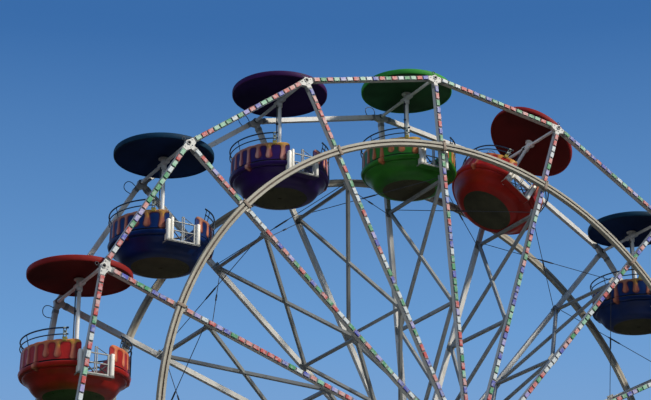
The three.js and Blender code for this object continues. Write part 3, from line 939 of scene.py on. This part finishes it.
# %% Bolts and bosses on the hub discs
def hub_fittings():
    face = -OUTER_FACE
    seat = face - SEAT_GAP
    boss = spun([
        (0.083, seat), (0.19, seat), (0.19, face - 0.02), (0.175, face - 0.03), (0.125, face - 0.036),
        (0.12, face - 0.075), (0.112, face - 0.082), (0.083, face - 0.082), (0.083, seat),
    ], 48, "Y")
    washer = spun([
        (0.205, seat), (0.47, seat), (0.47, face - 0.008), (0.46, face - 0.012),
        (0.215, face - 0.012), (0.205, face - 0.008), (0.205, seat),
    ], 64, "Y")
    parts = [boss, washer]
    for radius in (0.26, 0.42):
        parts += bolt_circle(16, radius, face - 0.012, FRONT, 0.02, 0.016)
    return join(parts, "front_hub_fittings")


dress_both(moved(hub_fittings(), TO_HUB), "back_hub_fittings", GREY_STEEL, "wheel")

# %% [markdown]
# ## The tub
# A moulded bowl with a bumper, a recess painted near-black as shade, a straight band and a ring bench
# inside. It is one outline spun about the pole. The doorway is then cut out with a rounded cutter, so the
# wall keeps its thickness and its soft top corners. Last, the shell's points learn how far they are from
# the nearest painted drip, and points inside a drip are pushed out a little, as the moulding is.

# %% Spin the shell
TUB_STEPS = 240
BAND_ROWS = 12
BAND_R = 0.777
BAND_TOP_R = 0.771
BAND_TOP_Z = -1.095
BAND_LOW_Z = -1.378
PAN_R = 0.445


def shell_outline():
    band = []
    for row in range(BAND_ROWS + 1):
        share = row / BAND_ROWS
        z = BAND_LOW_Z + share * (BAND_TOP_Z - 0.02 - BAND_LOW_Z)
        band.append((BAND_R + share * (BAND_TOP_R - BAND_R), z))
    return [
        (0, -1.716), (0.4, -1.716), (0.432, -1.727), (PAN_R, -1.727), (0.5, -1.717),
        (0.55, -1.699), (0.59, -1.672), (0.62, -1.637), (0.647, -1.598), (0.669, -1.566),
        (0.692, -1.544), (0.716, -1.523), (0.735, -1.506), (0.7455, -1.493), (0.747, -1.486),
        (0.742, -1.482), (0.766, -1.4805), (0.782, -1.477), (0.7905, -1.4705), (0.7955, -1.461),
        (0.801, -1.447), (0.8055, -1.433), (0.8075, -1.424), (0.8055, -1.4155), (0.798, -1.4105),
        (0.776, -1.4075), (0.768, -1.403), (0.767, -1.39), (0.7695, -1.384), (0.7775, -1.3825),
        *band,
        (0.7695, -1.103), (0.764, -1.096), (0.755, -1.094), (0.747, -1.097), (0.743, -1.107),
        (0.743, -1.18), (0.744, -1.255), (0.739, -1.28), (0.72, -1.296),
        (0.49, -1.304), (0.46, -1.311), (0.45, -1.33), (0.45, -1.66),
        (0.44, -1.688), (0.42, -1.698), (0, -1.698),
    ]


shell = settle(spun(shell_outline(), TUB_STEPS), "tub_shell")

# %% Cut the doorway
DOOR_HALF = 0.215
SILL_Z = -1.585
CORNER_R = 0.06
CUTTER_FRONT = -0.92
CUTTER_DEPTH = 0.695


def door_cutter():
    """The doorway's outline, flared at the top, extruded along Y from the front to the bench's middle."""
    arc = [
        (DOOR_HALF + CORNER_R - CORNER_R * math.cos(t), BAND_TOP_Z - CORNER_R + CORNER_R * math.sin(t))
        for t in (math.radians(15 * step) for step in range(6))
    ]
    right = [(DOOR_HALF, SILL_Z), *arc, (DOOR_HALF + CORNER_R, -0.95)]
    points = [Vector((x, CUTTER_FRONT, z)) for x, z in [*right, *[(-x, z) for x, z in reversed(right)]]]
    cutter = drawn([*points, points[0]])
    merge_doubles()
    bpy.ops.mesh.edge_face_add()
    bpy.ops.mesh.select_all(action="SELECT")
    bpy.ops.mesh.extrude_region_move(TRANSFORM_OT_translate={"value": (0, CUTTER_DEPTH, 0)})
    turn_faces_out()
    return cutter


cutter = door_cutter()
modified(shell, "BOOLEAN", operation="DIFFERENCE", solver="EXACT", object=cutter)
discard(cutter)
print("tub shell:", len(shell.data.vertices), "points after the doorway is cut")

# %% [markdown]
# ### Drips
# Each drip is a tapering neck that ends in a round bulb. The distance to all of them is blended, so that
# neighbours meet in soft arches under the rim, as poured paint does.

# %% Place the drips
DRIP_COUNT = 24
DOOR_AZIMUTH = math.radians(270)
DOOR_SPARE = math.radians(19)
DRIP_REACH = BAND_TOP_Z - BAND_LOW_Z
TOP_STRIP = 0.038
LONG_DRIPS = (4, 13, 20)


def make_drips():
    chance = random.Random(7)
    span = 2 * math.pi - 2 * DOOR_SPARE
    drips = []
    for index in range(DRIP_COUNT):
        place = (index + 0.5 + chance.uniform(-0.16, 0.16)) / DRIP_COUNT
        drips.append({
            "azimuth": DOOR_AZIMUTH + DOOR_SPARE + span * place,
            "length": DRIP_REACH * chance.uniform(0.78, 1.13),
            "neck": chance.uniform(0.024, 0.034),
            "bulb": chance.uniform(0.042, 0.056),
        })
    for index in LONG_DRIPS:
        drips[index]["length"] = DRIP_REACH * 1.45
    return drips


DRIPS = make_drips()
print("drips:", len(DRIPS))


# %% Measure a point of the shell against them
def turn_from(drip, azimuth):
    return (azimuth - drip["azimuth"] + math.pi) % (2 * math.pi) - math.pi


def drip_gap(drip, across, depth):
    """Distance from a point on the band to the edge of one drip; negative inside it."""
    end = drip["length"] - drip["bulb"]
    if depth > end:
        return math.hypot(across, depth - end) - drip["bulb"]
    share = max(0.0, depth / end)
    width = drip["neck"] + (drip["bulb"] - drip["neck"]) * share ** 2.2
    return abs(across) - width


def blended(first, second, reach=0.05):
    share = max(reach - abs(first - second), 0.0) / reach
    return min(first, second) - share * share * reach * 0.25


NEAR_TURN = 0.35                               # a drip farther round than this doesn't matter


def paint_gap(azimuth, depth):
    gap = depth - TOP_STRIP
    for drip in DRIPS:
        turn = turn_from(drip, azimuth)
        if abs(turn) < NEAR_TURN:
            gap = blended(gap, drip_gap(drip, turn * BAND_R, depth))
    return gap


def drip_side(azimuth):
    """How far to the right of the nearest drip's middle, in bulb widths, as seen from outside."""
    nearest = min(DRIPS, key=lambda drip: abs(turn_from(drip, azimuth)))
    return turn_from(nearest, azimuth) * BAND_R / nearest["bulb"]


def scallop(azimuth):
    """The wavy top edge: one low bump over each drip."""
    nearest = min(abs(turn_from(drip, azimuth)) for drip in DRIPS)
    return math.cos(min(nearest * DRIP_COUNT * 0.5, math.pi / 2))


# %% Store what the points learn, and raise the moulding
NO_PAINT = 0.2
MOULDING = 0.012
SOFT_EDGE = 0.03
WALL_R = 0.761
MAX_R = 0.8105
BUMPER_R = 0.69
BUMPER_TOP_Z = -1.47
PAINT_DEPTHS = (-0.005, 0.5)
SCALLOP_RISE = 0.01
SCALLOP_DEPTH = 0.1
SCALLOP_R = 0.7
WARM_AZIMUTH = math.radians(241)
WARM_REACH = math.radians(20)
WARM_DEPTH = 0.14
learnt = {"drip_distance": [], "drip_depth": [], "warm_patch": [], "drip_side": []}
for vertex in shell.data.vertices:
    radius = math.hypot(vertex.co.x, vertex.co.y)
    azimuth = math.atan2(vertex.co.y, vertex.co.x) % (2 * math.pi)
    depth = BAND_TOP_Z - vertex.co.z
    gap = NO_PAINT
    outside = radius > WALL_R or (radius > BUMPER_R and vertex.co.z < BUMPER_TOP_Z)
    if outside and PAINT_DEPTHS[0] < depth < PAINT_DEPTHS[1]:
        gap = paint_gap(azimuth, depth)
        share = min(1.0, max(0.0, -gap / SOFT_EDGE))
        swell = MOULDING * math.sqrt(1 - (1 - share) ** 2) * min(1.0, max(0.0, depth) / SOFT_EDGE)
        swell = min(swell, MAX_R - radius)
        vertex.co.x *= (radius + swell) / radius
        vertex.co.y *= (radius + swell) / radius
    if depth < SCALLOP_DEPTH and radius > SCALLOP_R:
        vertex.co.z += SCALLOP_RISE * scallop(azimuth) * (1 - max(0.0, depth) / SCALLOP_DEPTH) ** 2
    near_door = max(0.0, 1 - abs(azimuth - WARM_AZIMUTH) / WARM_REACH)
    learnt["drip_distance"].append(gap)
    learnt["drip_depth"].append(depth / DRIP_REACH)
    near_rim = max(0.0, (WARM_DEPTH - depth) / (WARM_DEPTH / 2))
    learnt["warm_patch"].append(min(1.0, 2 * near_door) * min(1.0, near_rim))
    learnt["drip_side"].append(drip_side(azimuth))
for name, values in learnt.items():
    carry(shell, name, values)

PAN_TOP_Z = -1.714
RECESS_R = 0.762
RECESS_LOW_Z = -1.418
RECESS_HIGH_Z = -1.3805


def shell_paint(face):
    """The pan is 1, the bare recess under the band is 2, which gets near-black paint as painted shade, and
    the rest is 0.
    """
    radius = math.hypot(face.center.x, face.center.y)
    if face.center.z < PAN_TOP_Z and radius < PAN_R:
        return 1
    bare = min(learnt["drip_distance"][index] for index in face.vertices) > 0
    # The recess faces get the near-black painted shade.
    return 2 if bare and radius > RECESS_R and RECESS_LOW_Z < face.center.z < RECESS_HIGH_Z else 0


number_faces(shell, shell_paint)
smooth(shell, 30)

# %% [markdown]
# ### Floor pan
# The round plate under the tub, with a drain hole in the middle and bolts near its edge.

# %% Floor pan
pan = spun([
    (0, -1.7), (0.028, -1.7), (0.031, -1.722), (0.036, -1.7275), (0.12, -1.729), (0.3, -1.7285),
    (0.405, -1.727), (0.424, -1.723), (0.427, -1.7165), (0.05, -1.7165), (0.045, -1.699), (0, -1.699),
], 64)
pan_bolts = bolt_circle(12, 0.36, -1.7275, DOWN, 0.012, 0.008, math.radians(15))
floor_pan = smooth(join([pan, *pan_bolts], "floor_pan"))

# %% [markdown]
# ### Canopy
# A shallow dome on a deep band with a rolled lower edge. Below it is smooth, with a boss in the middle.
# The faces that look down get the dark paint.

# %% Canopy
canopy = settle(spun([
    (0, 0.084), (0.078, 0.084), (0.09, 0.089), (0.096, 0.105), (0.4, 0.107), (0.69, 0.105),
    (0.738, 0.1), (0.753, 0.091), (0.764, 0.087), (0.774, 0.09), (0.779, 0.099), (0.7815, 0.13),
    (0.7805, 0.158), (0.776, 0.17), (0.765, 0.178), (0.74, 0.184), (0.6, 0.2035), (0.45, 0.2195),
    (0.3, 0.231), (0.15, 0.2375), (0.06, 0.239), (0.052, 0.246), (0.035, 0.25), (0, 0.251),
], 72), "canopy")
UNDERSIDE_TOP_Z = 0.1075
UNDERSIDE_R = 0.757


def looks_down(face):
    return face.center.z < UNDERSIDE_TOP_Z and math.hypot(face.center.x, face.center.y) < UNDERSIDE_R


number_faces(canopy, looks_down)
smooth(canopy, 30)

# %% [markdown]
# ### Pole and axle
# The pole stands on a flange on the floor, passes through a sleeve on the axle and ends in a flange under
# the canopy. The axle is a tube; its ends and bores take dark paint as painted shade in the holes.

# %% Pole, sleeves and hollow axle
AXLE_HALF = -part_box("front_rim")[0].y + 0.009
AXLE_R = 0.0268
BORE_R = 0.0175
bore_end = AXLE_HALF - 0.08
collar_end = INNER_FACE - 0.0003
pole = spun([
    (0, -1.6975), (0.078, -1.6975), (0.078, -1.688), (0.072, -1.684), (0.04, -1.682), (0.034, -1.67),
    (0.031, -1.64), (0.031, -1.02), (0.041, -1.015), (0.041, -0.965), (0.031, -0.96), (0.031, -0.105),
    (0.047, -0.1), (0.047, 0.052), (0.036, 0.058), (0.036, 0.068), (0.085, 0.07), (0.085, 0.0835),
    (0, 0.0835),
], 28)
axle = spun([
    (0, -bore_end), (BORE_R, -bore_end), (BORE_R, -AXLE_HALF), (0.0265, -AXLE_HALF), (AXLE_R, -0.14),
    (0.044, -0.135), (0.044, 0.135), (AXLE_R, 0.14), (AXLE_R, INNER_FACE - 0.028),
    (0.036, INNER_FACE - 0.027), (0.036, collar_end), (AXLE_R, collar_end),
    (0.0265, AXLE_HALF), (BORE_R, AXLE_HALF), (BORE_R, bore_end), (0, bore_end),
], 24, "Y")
hanger_parts = [pole, axle, *bolt_circle(6, 0.062, -1.686, UP, 0.009, 0.008)]
hanger = smooth(join(hanger_parts, "pole_and_axle"))
# Painted shade: the axle's ends and bores take the dark paint, so the holes look dark.
number_faces(hanger, lambda face: abs(face.center.y) > OUTER_FACE - 0.09)

# %% [markdown]
# ### Rails
# Two bent tubes run round the tub above its edge, from the left of the doorway round the back to its
# right. A bracket hooked over the tub's edge holds them at the left and thin struts all the way round.

# %% Hand rails
RAIL_R = 0.8
RAIL_Z = -0.935
LOW_RAIL_Z = -1.03
RAIL_START = 239
RAIL_END = -59
RAIL_STEPS = 28
SIDE_POST_AZIMUTH = -30


def at_azimuth(degrees, radius, z):
    angle = math.radians(degrees)
    return Vector((radius * math.cos(angle), radius * math.sin(angle), z))


def rail(z, thickness):
    """An arc round the back of the tub, with a short cap on each end."""
    arc = [
        at_azimuth(RAIL_START + (RAIL_END - RAIL_START) * step / RAIL_STEPS, RAIL_R, z)
        for step in range(RAIL_STEPS + 1)
    ]
    caps = []
    for tip, inner in ((arc[0], arc[1]), (arc[-1], arc[-2])):
        along = (inner - tip).normalized() * 0.014
        caps.append(rod(tip - along, tip + along, thickness * 1.3, 12, 0.003))
    return [tube_along(arc, thickness, 3), *caps]


# The bracket and its bolt are made on the +X side and turned to their place.
TO_BRACKET = Matrix.Rotation(math.radians(236), 4, "Z")
rail_parts = [*rail(RAIL_Z, 0.0115), *rail(LOW_RAIL_Z, 0.009)]
for degrees in (186, 150, 120, 90, 60, 25, -5, -50, -57):
    foot = at_azimuth(degrees, 0.757, -1.096)
    rail_parts.append(rod(foot, at_azimuth(degrees, RAIL_R - 0.004, RAIL_Z), 0.0065, 8))
side_foot = at_azimuth(SIDE_POST_AZIMUTH, 0.797, -1.42)
side_head = at_azimuth(SIDE_POST_AZIMUTH, 0.797, LOW_RAIL_Z)
rail_parts.append(rod(side_foot, side_head, 0.0105, 10, 0.002))
rail_parts.append(moved(rod((0.769, 0, -0.985), (0.8, 0, -0.985), 0.009, 8, 0.002), TO_BRACKET))
rails = smooth(join(rail_parts, "hand_rails"), 60)

# %% The bracket that holds the rails at the doorway
bracket = join([block(*measures) for measures in (
    ((0.738, -0.034, -1.084), (0.79, 0.034, -1.062), 0.004),
    ((0.731, -0.028, -1.13), (0.741, 0.028, -1.064), 0.003, 1),
    ((0.785, -0.028, -1.125), (0.794, 0.028, -1.064), 0.003, 1),
    ((0.774, -0.027, -1.063), (0.783, -0.013, -0.92), 0.002, 1),
    ((0.774, 0.013, -1.063), (0.783, 0.027, -0.92), 0.002, 1),
    ((0.772, -0.027, -1.001), (0.78, 0.027, -0.968), 0.002, 1),
    ((0.783, -0.02, -0.946), (0.812, 0.02, -0.924), 0.005),
    ((0.783, -0.02, -1.04), (0.81, 0.02, -1.019), 0.004),
)], "bracket")
SHOE_TOP_Z = -1.061
number_faces(bracket, lambda face: face.center.z < SHOE_TOP_Z)
smooth(moved(bracket, TO_BRACKET))

# %% The thin tube beside the pole
SIDE_TUBE_X = -0.052
side_tube = [rod((SIDE_TUBE_X, 0, -1.3), (SIDE_TUBE_X, 0, -0.07), 0.01, 10, 0.002)]
for z in (-0.43, -0.13):
    side_tube.append(block((SIDE_TUBE_X - 0.014, -0.016, z), (-0.03, 0.016, z + 0.025), 0.003, 1))
side_tube = smooth(join(side_tube, "side_tube"))

# %% [markdown]
# ### Door posts and sill
# Smooth cream covers stand on both sides of the doorway on a double sill in dull grey. The sill's
# underside is moulded with the tub, so its faces take the tub's paint, with no drip anywhere near.

# %% Door posts and sill
POST_OUT = 0.272
POST_IN = 0.2135
POST_TOP = -1.25
posts = []
for side in (-1, 1):
    posts.append(block((side * POST_OUT, -0.81, -1.583), (side * POST_IN, -0.745, POST_TOP), 0.019, 4))
    corner = (side * (POST_OUT - 0.008), -0.75, -1.575)
    posts.append(block(corner, (side * (POST_IN + 0.008), -0.69, POST_TOP - 0.03), 0.008))
for half, front, low, back, high, edge in (
    (0.275, -0.812, -1.594, -0.66, -1.5865, 0.003),
    (0.275, -0.812, -1.609, -0.66, -1.6025, 0.003),
    (0.262, -0.8, -1.603, -0.65, -1.594, 0.002),
):
    posts.append(block((-half, front, low), (half, back, high), edge, 1))
door_frame = smooth(join(posts, "door_frame"))
SILL_TOP = -1.5845
SILL_UNDERSIDE = -1.6


def frame_paint(face):
    """The sill's underside is 1, the rest of the sill is 2 and the posts are 0."""
    if face.center.z >= SILL_TOP:
        return 0
    return 1 if face.normal.z < -0.9 and face.center.z < SILL_UNDERSIDE else 2


number_faces(door_frame, frame_paint)
carry(door_frame, "drip_distance", [NO_PAINT] * len(door_frame.data.vertices))

# %% [markdown]
# ### Gate
# A light welded gate: a padded cream stile at the left, thin grey bars, a tall double stile in the middle
# and black braces in the lower half. It turns inwards about its right stile.

# %% Gate and its black braces
GATE_Y = -0.767
BAR_HALF = 0.012
BAR_PLACES = (
    (0.176, 0.201, -1.5845, -1.262), (-0.16, 0.18, -1.576, -1.558), (-0.16, 0.18, -1.278, -1.262),
    (-0.16, 0.18, -1.42, -1.406), (-0.021, -0.008, -1.57, -1.172), (0.008, 0.021, -1.57, -1.172),
    (-0.021, 0.021, -1.186, -1.172),
)
BRACE_PLACES = (
    ((-0.152, GATE_Y, -1.425), (-0.024, GATE_Y, -1.55), 0.0105),
    ((0.172, GATE_Y, -1.425), (0.026, GATE_Y, -1.55), 0.0105),
    ((-0.152, GATE_Y, -1.552), (-0.024, GATE_Y, -1.49), 0.0085),
    ((0.172, GATE_Y, -1.548), (0.026, GATE_Y, -1.46), 0.0105),
    ((0.022, GATE_Y, -1.19), (0.184, GATE_Y, -1.272), 0.006),
)
gate_parts = [block((-0.202, -0.795, -1.575), (-0.156, -0.75, -1.205), 0.016, 3)]
for left, right, low, high in BAR_PLACES:
    gate_parts.append(block((left, GATE_Y - BAR_HALF, low), (right, GATE_Y + BAR_HALF, high), 0.003, 1))
gate = smooth(join(gate_parts, "gate_frame"))
PAD_END_X = -0.155
number_faces(gate, lambda face: face.center.x >= PAD_END_X)
gate_braces = join([rod(*measures, 6) for measures in BRACE_PLACES], "gate_braces")
smooth(gate_braces, 60)

# %% [markdown]
# ### Sixteen gondolas
# Each model is copied to every axle with a mesh of its own, and gets the colours of its gondola.

# %% Copy the gondolas
for place, number, hue in zip(GONDOLA_PLACES, NUMBERS, itertools.cycle(HUE_ORDER)):
    tub_paint = TUB_FINISHES[hue]
    # Model, name, paints, body, slot and, where there is one, the node that it stands for.
    for model, name, finishes, body, slot_name, node_name in (
        (shell, "tub_shell", [tub_paint, FLOOR_PAN, RECESS_PAINTED_SHADE], "gondola", f"{hue}_tub", "tub"),
        (canopy, "canopy", CANOPY_FINISHES[hue], "gondola", f"{hue}_canopy", "hanger"),
        (hanger, "pole_and_axle", [POLE_PAINT, DARK_STEEL_AND_HOLE_SHADE], "gondola", "white_steel", ""),
        (floor_pan, "floor_pan", [FLOOR_PAN], "gondola", "base_steel", ""),
        (rails, "hand_rails", [RAIL_PAINT], "gondola", "grey_steel", ""),
        (side_tube, "side_tube", [DARK_STEEL_AND_HOLE_SHADE], "gondola", "grey_steel", ""),
        (bracket, "rail_bracket", [PALE_STEEL, OLIVE_STEEL], "gondola", "grey_steel", ""),
        (door_frame, "door_frame", [CREAM_PAINT, tub_paint, BAR_PAINT], "gondola", "cream_gate", ""),
        (gate, "gate_frame", [CREAM_PAINT, BAR_PAINT], "door", "cream_gate", "gate"),
        (gate_braces, "gate_braces", [DARK_STEEL_AND_HOLE_SHADE], "door", "cream_gate", ""),
    ):
        piece = copy_by(model, place, f"{name}_{number}")
        for finish in finishes:
            piece.data.materials.append(finish)
        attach(piece, f"{body}_{number}")
        if node_name:
            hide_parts(f"{node_name}_{number}")
for model in (shell, canopy, hanger, floor_pan, rails, bracket, side_tube, door_frame, gate, gate_braces):
    discard(model)

# %% [markdown]
# ## Towers and base
# The towers get bearing covers round the shaft, bolted splice flanges on the legs and bolts in the foot
# plates. The base beams get end caps, and the deck gets edge angles and step nosings.

# %% Tower fittings
LEG_TOP = Vector((0.11, 1.3, 8.84))
LEG_FOOT = Vector((2.9, 2.0, 0.425))
LEG_HALF = 0.09
SPLICE_Z = 4.25
FLANGE = (0.002, 0.032)
FOOT_PLATE_HALF = 0.21
TOWER_FACE = 1.415


def splice(place, along):
    """Two square flanges with bolts between them, across a leg."""
    parts = []
    half = LEG_HALF + 0.045
    for way in (-1, 1):
        near, far = (way * level for level in FLANGE)
        parts.append(block((-half, -half, near), (half, half, far), 0.004))
        for x, y in (*CORNERS, (0, 1), (0, -1), (1, 0), (-1, 0)):
            place_on = Vector((x, y, 0)) * (LEG_HALF + 0.024) + Vector((0, 0, far))
            parts.append(hexagon_bolt(place_on, (0, 0, way), 0.016, 0.014))
    across = (Vector((0, 1, 0)) - along * along.y).normalized()
    turn = Matrix((across, along.cross(across), along)).transposed().to_4x4()
    return moved(join(parts, "splice"), Matrix.Translation(place) @ turn)


def tower_fittings():
    face = TOWER_FACE
    seat = face + SEAT_GAP
    cover = spun([
        (0.092, seat), (0.185, seat), (0.185, face + 0.014), (0.175, face + 0.02), (0.13, face + 0.024),
        (0.122, face + 0.034), (0.1, face + 0.036), (0.092, face + 0.03), (0.092, seat),
    ], 48, "Y")
    cover_bolts = bolt_circle(8, 0.155, face + 0.02, (0, 1, 0), 0.015, 0.012, math.radians(22.5))
    parts = [moved(piece, TO_HUB) for piece in (cover, *cover_bolts)]
    for side in (-1, 1):
        mirror = Vector((side, 1, 1))
        top = LEG_TOP * mirror
        foot = LEG_FOOT * mirror
        place = top.lerp(foot, (top.z - SPLICE_Z) / (top.z - foot.z))
        parts.append(splice(place, (foot - top).normalized()))
        for x, y in CORNERS:
            corner = Vector((x, y, 0)) * (FOOT_PLATE_HALF - 0.04)
            parts.append(hexagon_bolt(foot + corner, UP, 0.022, 0.022))
    return join(parts, "back_tower_fittings")


dress_both(tower_fittings(), "front_tower_fittings", GREY_STEEL, "base")

# %% Beam ends
BEAM_HALF = 0.13
BASE_LOW = 0.06
BASE_TOP = 0.4
BASE_END = 3.5
cap_half = BEAM_HALF + 0.014
caps = []
for side in (-1, 1):
    y = side * LEG_FOOT.y
    for end in (-1, 1):
        x = end * BASE_END
        low = (x - end * 0.0005, y - cap_half, BASE_LOW - 0.012)
        caps.append(block(low, (x - end * 0.016, y + cap_half, BASE_TOP + 0.014), 0.004))
        for z in (BASE_LOW + 0.06, BASE_TOP - 0.06):
            for off in (-0.08, 0.08):
                caps.append(hexagon_bolt((x, y + off, z), (end, 0, 0), 0.016, 0.012))
dress(join(caps, "beam_end_caps"), BASE_STEEL, "base")

# %% Deck edges and step nosings
DECK_HALF = 1.4
DECK_BACK = -0.87
DECK_FRONT = -2.36
DECK_TOP = 0.56
STEP_HALF = 0.7
STEP_DEPTH = 0.295
EDGE_OUT = 0.006                               # how far an edge angle stands out from the deck
EDGE_IN = 0.03
edge_low = DECK_TOP - 0.055
edge_high = DECK_TOP + 0.004
wide = DECK_HALF + EDGE_OUT
edges = [block((-wide, DECK_BACK - EDGE_IN, edge_low), (wide, DECK_BACK + EDGE_OUT, edge_high))]
for side in (-1, 1):
    front = (side * STEP_HALF, DECK_FRONT - EDGE_OUT, edge_low)
    edges.append(block(front, (side * wide, DECK_FRONT + EDGE_IN, edge_high)))
    corner = (side * wide, DECK_FRONT, edge_low)
    edges.append(block(corner, (side * (DECK_HALF - EDGE_IN), DECK_BACK, edge_high)))
for step in range(3):
    y = DECK_FRONT - step * STEP_DEPTH
    top = DECK_TOP * (1 - step / 3)
    half = STEP_HALF + 0.003
    edges.append(block((-half, y - EDGE_OUT, top - 0.035), (half, y + 0.028, top + 0.005)))
dress(join(edges, "deck_edges_and_nosings"), BASE_STEEL, "base")

# %% [markdown]
# ## Floor, light and backdrop
# A plain pale floor, a soft key light at the front right, a large soft panel at the left, and a soft
# gradient all round: pale at the height of the eye and blue above. Below the horizon it gives hardly any
# light, as dark ground would, so that the undersides stay in shade.

# %% Floor
put_down()
bpy.ops.mesh.primitive_circle_add(vertices=96, radius=11, location=(0, 0, -0.001), fill_type="NGON")
floor = settle(bpy.context.object, "floor")
floor_finish = new_finish("pale_floor", 0.8)
floor_finish.paint((0.42, 0.42, 0.4))
floor.data.materials.append(floor_finish.owner)
floor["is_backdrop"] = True

# %% Backdrop
SKY_STOPS = [
    (0.0, (0.34, 0.42, 0.54)), (0.49, (0.4, 0.48, 0.6)), (0.51, (0.45, 0.54, 0.66)),
    (0.66, (0.145, 0.33, 0.64)), (0.74, (0.043, 0.15, 0.395)), (1.0, (0.03, 0.09, 0.26)),
]
GROUND_SHADE = (0.05, 0.05, 0.046)
world = bpy.data.worlds.new("studio")
world.use_nodes = True
sky = Wires(world)
height = sky.node("ShaderNodeSeparateXYZ", {"Vector": sky.place}).outputs["Z"]
share = sky.node("ShaderNodeMapRange", {"Value": height, "From Min": -1.0, "From Max": 1.0})
seen = sky.node("ShaderNodeLightPath", {}).outputs["Is Camera Ray"]
below = sky.between(height, 0.02, -0.02)
shaded = sky.maths("MULTIPLY", below, sky.maths("SUBTRACT", 1.0, seen))
backdrop = sky.mix(shaded, sky.ramp(share.outputs["Result"], SKY_STOPS), GROUND_SHADE)
sky.fill(world.node_tree.nodes["Background"].inputs["Color"], backdrop)
bpy.context.scene.world = world

# %% Lights
SUN_FROM = Vector((0.5, -0.6, 0.62))
put_down()
bpy.ops.object.light_add(type="SUN", location=(12, -10, 20))
sun = bpy.context.object
sun.name = "key_light"
sun.data.energy = 4.2
sun.data.angle = math.radians(6)
sun.data.color = (1.0, 0.93, 0.82)
sun.rotation_euler = SUN_FROM.to_track_quat("Z", "Y").to_euler()

PANEL_PLACE = Vector((-22, -15, 25))
put_down()
bpy.ops.object.light_add(type="AREA", location=PANEL_PLACE)
panel = bpy.context.object
panel.name = "left_panel"
panel.data.shape = "DISK"
panel.data.size = 16
panel.data.energy = 1500
panel.visible_glossy = False
panel.rotation_euler = (PANEL_PLACE - HUB).to_track_quat("Z", "Y").to_euler()
bpy.context.scene.view_settings.view_transform = "Standard"

# %% Sizes
low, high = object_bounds()
